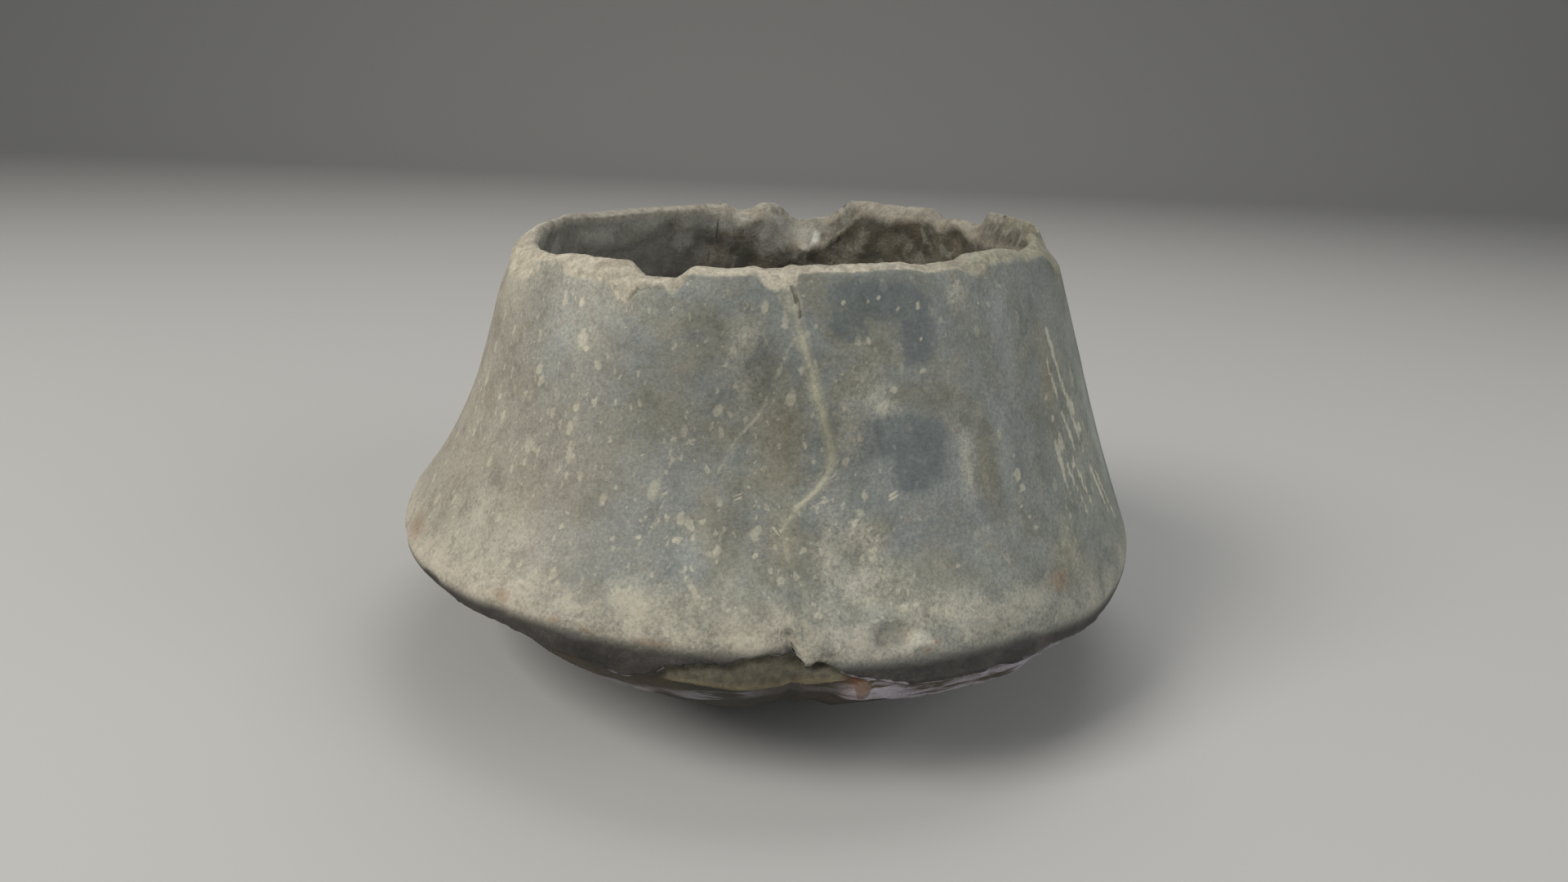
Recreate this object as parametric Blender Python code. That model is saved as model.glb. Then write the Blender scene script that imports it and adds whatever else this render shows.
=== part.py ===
"""A carinated vase of dark burnished earthenware, built by hand, broken, chipped and glued.

The vase is one hollow solid. Each ring of points runs round it at one level, and the rings run from
the middle of the underside, up the outer face, over the broken rim and down the inner face to the
middle of the floor. Azimuths are in degrees: 0 is the front (-Y), 90 is the right (+X).
"""

import bpy
import numpy as np

MM = 0.001

# Driving dimensions of the pot
CARINATION_RADIUS = 90.9 * MM
RIM_RADIUS = 62.5 * MM
CARINATION_HEIGHT = 31.0 * MM
RIM_HEIGHT = 99.6 * MM
WALL = 5.6 * MM
FLOOR_THICKNESS = 7.0 * MM
FOOT_RADIUS = 24.0 * MM

# How the potter's hand left it: all of these are departures from a true turned form
RIM_SHIFT = 1.75 * MM
RIM_TILT = 2.4 * MM
RIM_HIGH_SIDE = 110.0
WALL_HOLLOW = 3.1 * MM
WALL_HOLLOW_LEFT = 2.4 * MM
UNEVENNESS = 0.5 * MM
INNER_UNEVENNESS = 0.6 * MM
LIP_ROUNDING = 1.3 * MM
CREASE_ROUNDING = 2.6 * MM

# The lower body's section: a crisp turn under the carination, then a shallow bowl
BOWL_FULLNESS = 0.57

# Where the bowl is leaner than that: (azimuth of the middle, half width, softness, amount)
BOWL_LEAN = (
    (-84.0, 34.0, 42.0, 0.17),
    (-24.0, 6.0, 12.0, 0.04),
    (70.0, 20.0, 30.0, 0.03),
    (180.0, 30.0, 60.0, 0.04),
)

# Where the carination is worn rounder, in the same form
CREASE_WEAR = (
    (-96.0, 14.0, 26.0, 3.2 * MM),
    (80.0, 50.0, 45.0, 2.0 * MM),
    (180.0, 30.0, 35.0, 1.5 * MM),
)

# Where the bowl swells below its plain section, in the same form
BOWL_SWELLS = (
    (-13.0, 10.0, 14.0, 2.3 * MM),
    (7.2, 0.8, 4.0, -2.0 * MM),
    (21.5, 11.5, 9.0, 2.2 * MM),
    (150.0, 20.0, 40.0, 0.8 * MM),
)

# The glued joint in front, where the right sherd sits low and a little proud of the left one
JOINT_AZIMUTH = 6.0
JOINT_WIDTH = 1.6
SHERD_RISE_LEFT = 2.6 * MM
SHERD_RISE_RIGHT = 1.0 * MM
SHERD_DROP_RIGHT = 2.8 * MM
SHERD_RISE_JOINT = 1.5 * MM
SHERD_PROUD = 0.5 * MM
WALL_SINK = 1.8 * MM

# Losses in the rim: (azimuth of the middle, half width, softness of the ends, depth)
RIM_LOSSES = (
    (-64.0, 11.0, 9.0, 1.3 * MM),
    (-40.0, 28.0, 10.0, 0.9 * MM),
    (-23.0, 3.0, 4.5, 2.4 * MM),
    (-2.0, 1.5, 2.0, 0.6 * MM),
    (8.0, 16.0, 8.0, 0.4 * MM),
    (30.5, 3.0, 6.0, 1.0 * MM),
    (73.0, 16.0, 8.0, 1.7 * MM),
    (122.0, 1.0, 2.5, 1.1 * MM),
    (128.4, 5.2, 4.0, 3.0 * MM),
    (144.0, 5.0, 9.0, 0.75 * MM),
    (173.2, 3.2, 8.0, 5.1 * MM),
    (192.3, 1.5, 4.0, 1.8 * MM),
    (209.0, 30.0, 10.0, 0.85 * MM),
)

# Depth at which a chipped edge of the rim counts as a bevel, and over which it becomes a full one
BEVEL_START = 1.5 * MM
BEVEL_REACH = 2.5 * MM

# Flakes lost from the rim's outer edge and from its inner edge, in the same form
OUTER_CHIPS = (
    (-62.5, 7.0, 4.0, 3.8 * MM),
    (-35.5, 5.5, 6.0, 1.6 * MM),
    (-28.6, 1.2, 2.4, 2.2 * MM),
    (-1.0, 2.0, 2.0, 1.5 * MM),
    (46.0, 9.0, 5.0, 0.8 * MM),
    (88.0, 18.0, 10.0, 4.2 * MM),
    (-90.0, 14.0, 6.0, 3.0 * MM),
)
INNER_CHIPS = (
    (106.0, 12.0, 6.0, 6.5 * MM),
    (146.0, 12.0, 6.0, 1.6 * MM),
    (172.0, 8.0, 6.0, 6.5 * MM),
    (194.0, 8.0, 5.0, 1.8 * MM),
)

# Flakes lost from the carination: (azimuth, half width, softness, depth)
CREASE_CHIPS = (
    (-83.0, 2.5, 3.0, 0.9 * MM),
    (-66.0, 4.0, 4.0, 0.8 * MM),
    (-2.0, 4.0, 5.0, 0.6 * MM),
    (17.0, 3.0, 3.5, 0.8 * MM),
    (112.0, 5.0, 4.0, 1.0 * MM),
    (-140.0, 6.0, 5.0, 0.9 * MM),
)
CREASE_CHIP_REACH = 4.0 * MM

# The skin of the lower body has spalled off below a ragged edge, a band's width under the carination
BAND_WIDTH = 5.0 * MM
BAND_RAGGEDNESS = 0.7 * MM
SPALL_DEPTH = 1.0 * MM
SPALL_EDGE = 1.3 * MM

# The deep scar in front: its azimuths, the level of its upper edge at either end, and its depth
SCAR_FROM = -12.0
SCAR_TO = 7.0
SCAR_TOP_LEFT = 4.6 * MM
SCAR_TOP_RIGHT = 3.2 * MM
SCAR_BOTTOM = 7.6 * MM
SCAR_DEPTH = 1.5 * MM

# Lower flakes: (azimuth, half width, softness, distance below the carination, extra depth)
LOWER_SPALLS = (
    (34.0, 24.0, 8.0, 7.0 * MM, 1.1 * MM),
    (112.0, 30.0, 14.0, 12.0 * MM, 1.1 * MM),
    (205.0, 30.0, 12.0, 14.0 * MM, 1.1 * MM),
    (-92.0, 24.0, 12.0, 12.5 * MM, 0.9 * MM),
    (-34.0, 16.0, 10.0, 15.0 * MM, 1.0 * MM),
)
SPALL_FADE = 14.0 * MM

# Mesh: columns round the vase, closer together where it is broken, and rings up its section
COLUMNS = 128
COLUMN_CROWDING = 1.8
CROWDED = ((-8.0, 66.0, 12.0), (142.0, 52.0, 14.0))
WALL_RINGS = 12
CREASE_RINGS = 4
BOWL_RINGS = 11
FOOT_RINGS = 2
LIP_RINGS = 3
INNER_WALL_RINGS = 8
INNER_BOWL_RINGS = 6
PROFILE_SAMPLES = 160

CLAY_COLOUR = (0.20, 0.19, 0.16, 1.0)
CLAY_ROUGHNESS = 0.72


def clear_scene():
    """Removes whatever the scene holds, so that the vase is alone in it."""
    for old in list(bpy.data.objects):
        bpy.data.objects.remove(old)


def ease(x):
    """0 below 0, 1 above 1, and a smooth step between."""
    x = np.clip(x, 0.0, 1.0)
    return x * x * (3.0 - 2.0 * x)


def turn(azimuth, middle):
    """Degrees from the middle round to the azimuth, from -180 to 180."""
    return (azimuth - middle + 180.0) % 360.0 - 180.0


def patch(azimuth, middle, half_width, softness):
    """1 within the half width of the middle, falling to 0 over the softness."""
    return ease((half_width + softness - np.abs(turn(azimuth, middle))) / softness)


def losses(azimuth, places):
    """The depth that a list of (middle, half width, softness, depth) takes away at an azimuth."""
    return sum(depth * patch(azimuth, middle, half, soft) for middle, half, soft, depth in places)


def left_share(azimuth):
    """1 at the left, 0 at the right, 0.5 in front and behind."""
    return 0.5 - 0.5 * np.sin(np.radians(azimuth))


def right_sherd(azimuth):
    """1 on the sherd to the right of the glued joint, fading out behind the vase."""
    start = ease(turn(azimuth, JOINT_AZIMUTH) / JOINT_WIDTH)
    return start * patch(azimuth, JOINT_AZIMUTH + 60.0, 60.0, 60.0)


def rim_line(azimuth):
    """Height of the rim's crest, with its losses."""
    tilt = RIM_TILT * np.cos(np.radians(azimuth - RIM_HIGH_SIDE))
    return RIM_HEIGHT + tilt - losses(azimuth, RIM_LOSSES)


def crease_height(azimuth):
    """Height of the carination, which steps down across the glued joint and sinks at the right."""
    left_sherd = patch(azimuth, JOINT_AZIMUTH - 40.0, 40.0 - JOINT_WIDTH, JOINT_WIDTH)
    by_joint = patch(azimuth, JOINT_AZIMUTH - 1.5, 1.0, 5.0)
    sunk = ease((turn(azimuth, JOINT_AZIMUTH) - 24.0) / 22.0)
    left = SHERD_RISE_LEFT * ease((azimuth + 62.0) / 40.0) + SHERD_RISE_JOINT * by_joint
    right = SHERD_RISE_RIGHT - SHERD_DROP_RIGHT * sunk
    return CARINATION_HEIGHT + left * left_sherd + right * right_sherd(azimuth)


def wall_foot(azimuth, height):
    """Height at which the wall's line meets the carination; it follows the broken edge low down."""
    plain = CARINATION_HEIGHT - 0.5 * WALL_SINK * (1.0 + np.sin(np.radians(azimuth)))
    near = ease((plain + 18.0 * MM - height) / (16.0 * MM))
    return plain + (crease_height(azimuth) - plain) * near


def wall_radius(azimuth, height):
    """Radius of the outer face of the upper wall at a height."""
    down = (RIM_HEIGHT - height) / (RIM_HEIGHT - wall_foot(azimuth, height))
    hollow = WALL_HOLLOW + WALL_HOLLOW_LEFT * (2.0 * left_share(azimuth) - 1.0)
    sag = hollow * 4.0 * down * (1.0 - down) * (0.45 + 1.1 * down)
    return RIM_RADIUS + (CARINATION_RADIUS - RIM_RADIUS) * down - sag


def bowl_fullness(azimuth):
    """The exponent of the bowl's section: a half gives an ellipse, and more a leaner bowl."""
    return BOWL_FULLNESS + losses(azimuth, BOWL_LEAN)


def bowl_height(share, crease, depth, fullness):
    """Height of a bowl's section at a share of its radius; the depth is at its middle."""
    return crease - depth * (1.0 - share**2) ** fullness


def bowl_depth(crease, fullness):
    """Depth at which the outer bowl's section reaches the standing plane at the foot's edge."""
    return crease / (1.0 - (FOOT_RADIUS / CARINATION_RADIUS) ** 2) ** fullness


def curve_between(start, corner, end, share):
    """A point of the quadratic curve that rounds off a corner."""
    a, b, c = (1.0 - share) ** 2, 2.0 * share * (1.0 - share), share**2
    return tuple(a * p + b * q + c * r for p, q, r in zip(start, corner, end))


def outer_section(azimuth):
    """(radius, height) of the outer face's rings at one azimuth, from the rim's edge to the foot."""
    crease = crease_height(azimuth)
    top = rim_line(azimuth) - LIP_ROUNDING - losses(azimuth, OUTER_CHIPS)
    rounding = CREASE_ROUNDING + losses(azimuth, CREASE_WEAR)
    wall_end = crease + rounding
    fullness = bowl_fullness(azimuth)
    depth = bowl_depth(crease, fullness)
    first_share = 1.0 - 0.5 * rounding / CARINATION_RADIUS
    first_rise = np.sqrt(1.0 - first_share**2)
    foot_rise = np.sqrt(1.0 - (FOOT_RADIUS / CARINATION_RADIUS) ** 2)
    points = []
    for share in np.linspace(0.0, 1.0, WALL_RINGS):
        height = top + (wall_end - top) * share
        points.append((wall_radius(azimuth, height), height))
    upper = points[-1]
    lower = (CARINATION_RADIUS * first_share, bowl_height(first_share, crease, depth, fullness))
    for share in np.linspace(0.0, 1.0, CREASE_RINGS + 2)[1:-1]:
        points.append(curve_between(upper, (CARINATION_RADIUS, crease), lower, share))
    for share in np.linspace(0.0, 1.0, BOWL_RINGS):
        rise = first_rise + (foot_rise - first_rise) * share**1.3
        radius_share = np.sqrt(1.0 - rise**2)
        height = bowl_height(radius_share, crease, depth, fullness)
        points.append((CARINATION_RADIUS * radius_share, height))
    return np.array(points)


def inner_section(azimuth):
    """(radius, height) of the inner face's rings at one azimuth, from the rim's edge to the floor."""
    crease = crease_height(azimuth) + 0.5 * WALL
    top = rim_line(azimuth) - LIP_ROUNDING - losses(azimuth, INNER_CHIPS)
    slope = (CARINATION_RADIUS - RIM_RADIUS) / (RIM_HEIGHT - CARINATION_HEIGHT)
    thickness = WALL * np.hypot(1.0, slope)
    belly = wall_radius(azimuth, crease) - thickness
    depth = crease - FLOOR_THICKNESS
    points = []
    for share in np.linspace(0.0, 1.0, INNER_WALL_RINGS):
        height = top + (crease - top) * share
        points.append((wall_radius(azimuth, height) - thickness, height))
    for share in np.linspace(0.0, 1.0, INNER_BOWL_RINGS + 1)[1:]:
        radius_share = 1.0 - 0.9 * share
        height = bowl_height(radius_share, crease, depth, bowl_fullness(azimuth))
        points.append((belly * radius_share, height))
    return np.array(points)


def spall_recess(azimuth, below):
    """Depth of what is lost from the lower body, at a distance below the carination."""
    wave = np.radians(azimuth)
    ragged = BAND_RAGGEDNESS * (np.sin(7.0 * wave + 0.6) + 0.6 * np.sin(17.0 * wave + 2.1))
    fade = ease((BAND_WIDTH + 3.0 * SPALL_FADE - below) / SPALL_FADE)
    recess = SPALL_DEPTH * ease((below - BAND_WIDTH - ragged) / SPALL_EDGE) * fade
    for middle, half, soft, edge, depth in LOWER_SPALLS:
        here = patch(azimuth, middle, half, soft)
        recess = recess + depth * here * ease((below - edge - ragged) / SPALL_EDGE) * fade
    across = np.clip((azimuth - SCAR_FROM) / (SCAR_TO - SCAR_FROM), 0.0, 1.0)
    scar_top = SCAR_TOP_LEFT + (SCAR_TOP_RIGHT - SCAR_TOP_LEFT) * across**0.7
    inside = ease((below - scar_top) / SPALL_EDGE) * ease((SCAR_BOTTOM + SPALL_EDGE - below) / SPALL_EDGE)
    middle, half = 0.5 * (SCAR_FROM + SCAR_TO), 0.5 * (SCAR_TO - SCAR_FROM)
    return recess + SCAR_DEPTH * inside * patch(azimuth, middle, half, 3.0)


def outer_relief(azimuth, below):
    """How far the outer face stands out from its plain section; below is 0 at the carination."""
    wave = np.radians(azimuth)
    uneven = np.sin(3.0 * wave + 0.9 + 22.0 * below) + 0.6 * np.sin(5.0 * wave - 1.7 - 40.0 * below)
    swell = losses(azimuth, BOWL_SWELLS) * ease(below / (1.7 * BAND_WIDTH))
    near_crease = ease(1.0 - np.abs(below) / CREASE_CHIP_REACH)
    proud = SHERD_PROUD * right_sherd(azimuth) * ease(1.0 - np.abs(below) / (0.3 * RIM_HEIGHT))
    return (
        (UNEVENNESS * uneven + swell) * ease((8.5 * BAND_WIDTH - below) / (1.7 * BAND_WIDTH))
        + proud
        - losses(azimuth, CREASE_CHIPS) * near_crease
        - np.where(below > 0.0, spall_recess(azimuth, below), 0.0)
    )


def section_normals(points):
    """Unit normals, to the left of the direction of travel, of a section's points."""
    along = np.gradient(points, axis=0)
    normals = np.stack([-along[:, 1], along[:, 0]], axis=1)
    return normals / np.linalg.norm(normals, axis=1, keepdims=True)


def distance_below_crease(points, crease):
    """Length along the section from the carination down to each point, negative above it."""
    steps = np.linalg.norm(np.diff(points, axis=0), axis=1)
    travelled = np.concatenate([[0.0], np.cumsum(steps)])
    order = np.argsort(-points[:, 1], kind="stable")
    return travelled - np.interp(-crease, -points[order, 1], travelled[order])


def finished_outer(azimuth):
    """The outer section with its relief, standing on the plane at height 0."""
    points = outer_section(azimuth)
    below = distance_below_crease(points, crease_height(azimuth))
    relief = outer_relief(azimuth, below)
    relief[-1] = 0.0
    points = points + section_normals(points) * relief[:, None]
    points[-1] = (FOOT_RADIUS, 0.0)
    points[:-1, 1] = np.maximum(points[:-1, 1], 0.2 * MM)
    return points


def finished_inner(azimuth):
    """The inner section with the marks of the potter's fingers."""
    points = inner_section(azimuth)
    wave = np.radians(azimuth)
    rows = np.arange(len(points))
    uneven = np.sin(4.0 * wave + 0.7 * rows) + 0.5 * np.sin(9.0 * wave - 1.3 * rows)
    points[:, 0] += INNER_UNEVENNESS * uneven * (points[:, 0] / CARINATION_RADIUS)
    return points


def lip_section(azimuth, outer_edge, inner_edge):
    """The broken top of the wall between its two edges, with its crest away from the deeper bevel."""
    crest = rim_line(azimuth)
    falls = crest - outer_edge[1], crest - inner_edge[1]
    outer_bevel, inner_bevel = (ease((fall - BEVEL_START) / BEVEL_REACH) for fall in falls)
    ridge = 0.5 + 0.28 * outer_bevel - 0.2 * inner_bevel
    points = []
    for share in np.linspace(0.0, 1.0, LIP_RINGS + 2)[1:-1]:
        outside = share < ridge
        depth = falls[0] if outside else falls[1]
        along_side = (ridge - share) / ridge if outside else (share - ridge) / (1.0 - ridge)
        power = 2.6 - 1.4 * (outer_bevel if outside else inner_bevel)
        radius = outer_edge[0] + (inner_edge[0] - outer_edge[0]) * share
        points.append((radius, crest - depth * along_side**power))
    return np.array(points)


def whole_section(azimuth):
    """All rings of one azimuth: outer face from the foot up, the lip, the inner face down."""
    outer = finished_outer(azimuth)
    inner = finished_inner(azimuth)
    return np.concatenate([outer[::-1], lip_section(azimuth, outer[0], inner[0]), inner])


def column_azimuths():
    """The columns' azimuths, closer together where the rim and the lower body are broken."""
    fine = np.linspace(-180.0, 180.0, 3601)
    density = 1.0 + COLUMN_CROWDING * sum(patch(fine, *place) for place in CROWDED)
    travelled = np.concatenate([[0.0], np.cumsum(0.5 * (density[1:] + density[:-1]))])
    return np.interp(np.arange(COLUMNS) / COLUMNS * travelled[-1], travelled, fine)


def in_space(azimuth, section):
    """A section's points in space, the upper wall leaning with the rim's shift."""
    angle = np.radians(azimuth)
    radius, height = section[:, 0], section[:, 1]
    rise = (height - CARINATION_HEIGHT) / (RIM_HEIGHT - CARINATION_HEIGHT)
    lean = RIM_SHIFT * np.clip(rise, 0.0, None)
    return np.stack([radius * np.sin(angle) + lean, -radius * np.cos(angle), height], axis=1)


def ring_faces(lower, upper):
    """Faces between two rings of point numbers; the upper may have half as many points."""
    count = len(lower)
    if len(upper) == count:
        return [
            (lower[i], lower[(i + 1) % count], upper[(i + 1) % count], upper[i])
            for i in range(count)
        ]
    faces = []
    for i in range(0, count, 2):
        middle, far = lower[i + 1], lower[(i + 2) % count]
        near_up, far_up = upper[i // 2], upper[(i // 2 + 1) % len(upper)]
        faces += [(lower[i], middle, near_up), (middle, far_up, near_up), (middle, far, far_up)]
    return faces


def flipped(faces):
    """The same faces pointing the other way."""
    return [tuple(reversed(face)) for face in faces]


def vase_mesh():
    """Points and faces of the closed solid."""
    azimuths = column_azimuths()
    grid = np.stack([in_space(azimuth, whole_section(azimuth)) for azimuth in azimuths], axis=1)
    ring_total = len(grid)
    sparse_below = 3
    sparse_above = ring_total - INNER_BOWL_RINGS - INNER_WALL_RINGS + 4
    points, rings = [], []
    for row in range(ring_total):
        sparse = row < sparse_below or row >= sparse_above
        ring = grid[row, ::2] if sparse else grid[row]
        rings.append(list(range(len(points), len(points) + len(ring))))
        points += [tuple(point) for point in ring]
    faces = []
    for lower, upper in zip(rings, rings[1:]):
        if len(lower) < len(upper):
            faces += flipped(ring_faces(upper, lower))
        else:
            faces += ring_faces(lower, upper)
    for ring, height, outward in ((rings[0], 0.0, False), (rings[-1], FLOOR_THICKNESS, True)):
        centre = len(points)
        points.append((0.0, 0.0, height))
        fan = [(ring[i], ring[(i + 1) % len(ring)], centre) for i in range(len(ring))]
        faces += fan if outward else flipped(fan)
    return points, faces


def clay_material():
    """Grey burnished earthenware, worn matt."""
    material = bpy.data.materials.new("burnished_clay")
    material.use_nodes = True
    shader = material.node_tree.nodes["Principled BSDF"]
    shader.inputs["Base Color"].default_value = CLAY_COLOUR
    shader.inputs["Roughness"].default_value = CLAY_ROUGHNESS
    shader.inputs["Metallic"].default_value = 0.0
    material.diffuse_color = CLAY_COLOUR
    return material


def make_vase():
    """The vase as one object, standing on the plane at height 0."""
    points, faces = vase_mesh()
    mesh = bpy.data.meshes.new("vase")
    mesh.from_pydata(points, [], faces)
    mesh.validate()
    mesh.materials.append(clay_material())
    vase = bpy.data.objects.new("vase", mesh)
    bpy.context.scene.collection.objects.link(vase)
    mesh.shade_smooth()
    mesh.set_sharp_from_angle(angle=np.radians(40.0))
    return vase


clear_scene()
make_vase()
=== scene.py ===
"""The looks of a carinated vase of dark burnished earthenware, broken, chipped and glued.

The visible vase is a fine mesh over the frame's solid. It is built as the solid is, in rings from
the middle of the underside up the outer face, over the broken rim and down to the middle of the
floor, with the small relief of breaks, cracks, flakes and wear on it. Azimuths are in degrees: 0 is
the front (-Y), 90 the right (+X). Lengths are in millimetres until the mesh is made.
"""

import bpy
import numpy as np
from mathutils import Matrix, Vector, noise


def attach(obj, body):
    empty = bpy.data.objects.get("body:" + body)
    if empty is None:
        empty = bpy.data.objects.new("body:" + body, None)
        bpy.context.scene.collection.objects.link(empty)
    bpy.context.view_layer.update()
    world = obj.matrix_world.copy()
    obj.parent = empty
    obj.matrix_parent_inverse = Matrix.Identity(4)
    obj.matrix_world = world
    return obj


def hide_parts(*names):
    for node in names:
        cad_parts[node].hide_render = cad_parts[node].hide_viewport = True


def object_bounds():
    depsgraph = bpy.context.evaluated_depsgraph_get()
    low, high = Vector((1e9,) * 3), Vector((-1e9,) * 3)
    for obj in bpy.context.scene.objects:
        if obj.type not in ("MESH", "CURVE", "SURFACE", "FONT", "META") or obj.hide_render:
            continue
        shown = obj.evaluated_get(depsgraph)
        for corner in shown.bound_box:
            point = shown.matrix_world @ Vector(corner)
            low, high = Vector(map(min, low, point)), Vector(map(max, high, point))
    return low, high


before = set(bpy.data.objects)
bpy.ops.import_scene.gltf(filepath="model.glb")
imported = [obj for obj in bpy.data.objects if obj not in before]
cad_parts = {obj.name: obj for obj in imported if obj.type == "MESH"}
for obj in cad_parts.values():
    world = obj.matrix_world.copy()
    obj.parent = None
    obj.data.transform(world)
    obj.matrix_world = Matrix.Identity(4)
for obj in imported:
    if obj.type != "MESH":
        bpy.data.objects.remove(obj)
cad_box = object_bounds()

MM = 0.001
# A distance that stands for nowhere near
FAR = 99.0
# What the visible mesh keeps clear of the solid's box
BOX_GAP = 0.02

# The pot's own sizes, as in the frame's source, in millimetres and degrees
CARINATION_RADIUS = 90.9
RIM_RADIUS = 62.5
CARINATION_HEIGHT = 31.0
RIM_HEIGHT = 99.6
WALL = 5.6
FLOOR_THICKNESS = 7.0
FOOT_RADIUS = 24.0
RIM_SHIFT = 1.75
RIM_TILT = 2.4
RIM_HIGH_SIDE = 110.0
WALL_HOLLOW = 3.1
WALL_HOLLOW_LEFT = 2.4
LIP_ROUNDING = 1.3
CREASE_ROUNDING = 2.6
BOWL_FULLNESS = 0.57
JOINT_AZIMUTH = 6.0
JOINT_WIDTH = 1.6
SHERD_RISE_LEFT = 2.6
SHERD_RISE_RIGHT = 1.0
SHERD_DROP_RIGHT = 2.8
SHERD_RISE_JOINT = 1.5
SHERD_PROUD = 0.5
WALL_SINK = 1.8

# Small relief, in millimetres
SCAR_DEPTH = 1.9
SPALL_DEPTH = 0.9
FLAKE_DEPTH = 1.1
# How much shallower the flakes are below the scar
FLAKE_EASE = 0.9
LEDGE_HEIGHT = 0.35
NUB_HEIGHT = 1.0
LEFT_FLAT_DEPTH = 1.1
GROOVE_DEPTH = 0.12
GROOVE_DEEPER_LOW = 0.2
HAIRLINE_DEPTH = 0.06
CRACK_DEPTH = 0.3
PIT_DEPTH = 0.16
INNER_RIDGE_HEIGHT = 0.9

# (middle, half width, softness, amount) in degrees and millimetres
CREASE_WEAR = ((-96, 14, 26, 3.2), (80, 50, 45, 2), (180, 30, 35, 1.5))
BOWL_LEAN = (
    (-84, 34, 42, 0.17),
    (-24, 6, 12, 0.04),
    (70, 20, 30, 0.03),
    (180, 30, 60, 0.04),
)
BOWL_SWELLS = (
    (-13, 10, 14, 2.3),
    (7.2, 0.8, 4, -2),
    (21.5, 11.5, 9, 2.2),
    (150, 20, 40, 0.8),
)
RIM_LOSSES = (
    (-64, 11, 9, 1.3),
    (-40, 28, 10, 0.9),
    (-23, 3, 4.5, 2.4),
    (-2, 1.5, 2, 0.6),
    (8, 16, 8, 0.4),
    (30.5, 3, 6, 1),
    (73, 16, 8, 1.7),
    (122, 1, 2.5, 1.1),
    (128.4, 5.2, 4, 3),
    (144, 5, 9, 0.75),
    (173.2, 3.2, 8, 5.1),
    (192.3, 1.5, 4, 1.8),
    (209, 30, 10, 0.85),
)
OUTER_CHIPS = (
    (-62.5, 7, 4, 3.8),
    (-35.5, 5.5, 6, 1.6),
    (-28.6, 1, 2, 2.4),
    (-1, 2, 2, 1.5),
    (36, 2, 2, 0.8),
    (46, 7, 4, 0.9),
    (88, 18, 10, 4.2),
    (136, 4, 3, 1.5),
    (-90, 14, 6, 3),
    (-110, 6, 4, 0.9),
    (-150, 4, 3, 1.4),
)
INNER_CHIPS = (
    (106, 12, 6, 6.5),
    (146, 12, 6, 1.6),
    (172, 8, 6, 6.5),
    (194, 8, 5, 1.8),
)
# Flakes lost along the carination: azimuth, rise above it, half width, half height and depth
CREASE_CHIPS = (
    (-86, 3, 5, 3.5, 0.9),
    (-79, -3, 6, 4, 1),
    (-66, -2.5, 7, 3, 0.9),
    (-50, -1.5, 5, 2, 0.5),
    (-34, -1, 4, 1.8, 0.45),
    (-22, -1, 5, 1.6, 0.4),
    (-3, 1.5, 7.5, 3, 0.6),
    (4.2, 0, 2, 3.4, 1.4),
    (7.6, -1, 3, 2.2, 0.8),
    (16.4, 3, 4.6, 2.7, 1.7),
    (20, -0.4, 3, 1.6, 0.5),
    (34, -0.6, 4.5, 1.6, 0.5),
    (112, 0, 9, 4, 1.1),
    (150, 1, 6, 3, 0.8),
    (-140, -0.5, 10, 4, 1),
    (-112, 1, 5, 3, 0.7),
)

# Lines on the outer face, as (azimuth, height) from top to bottom
JOINT_PATH = (
    (0, 99), (1.2, 95.1), (2.3, 92.3), (2.6, 88.7), (4, 85.1), (5.5, 79.5), (6.3, 75.2),
    (7.6, 71), (8.6, 67.4), (8.4, 64.2), (6.7, 59.7), (4, 56.9), (2.3, 53.4), (3.3, 47.3),
    (5.4, 43.4), (5.5, 38.9), (5.6, 34.4), (7, 31), (9, 27),
)
JOINT_BY_HEIGHT = tuple((z, a) for a, z in reversed(JOINT_PATH))
HAIRLINES = (
    (
        (3, 86), (1.9, 83.9), (0.1, 78.4), (-1.9, 72.4), (-5.3, 66.9), (-7.1, 61.6), (-6.9, 57.4),
        (-5.5, 52.1),
    ),
    ((-14.8, 65.6), (-14.3, 59.2), (-15, 52.2), (-17, 47.5)),
    ((-13.7, 47.9), (-11.5, 45.5), (-9.6, 44.1), (-8, 41.6), (-7.1, 40.6), (-5.9, 35.6)),
    ((-8, 41.6), (-8.9, 38), (-8.4, 34.2)),
    ((-5.5, 52.1), (-6.2, 48), (-4.8, 43.5)),
)
DARK_HAIRLINES = (
    ((-3, 98.4), (-0.2, 97.4), (1.4, 96.4), (2.3, 94), (3.2, 91.6), (3.4, 89.8)),
    ((-68, 95), (-69.5, 90), (-72, 84), (-73, 78), (-76, 71)),
    ((150, 98), (151, 88), (149, 76), (152, 60), (150, 44)),
    ((-128, 96), (-126, 84), (-129, 70), (-127, 52), (-131, 36)),
)

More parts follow.
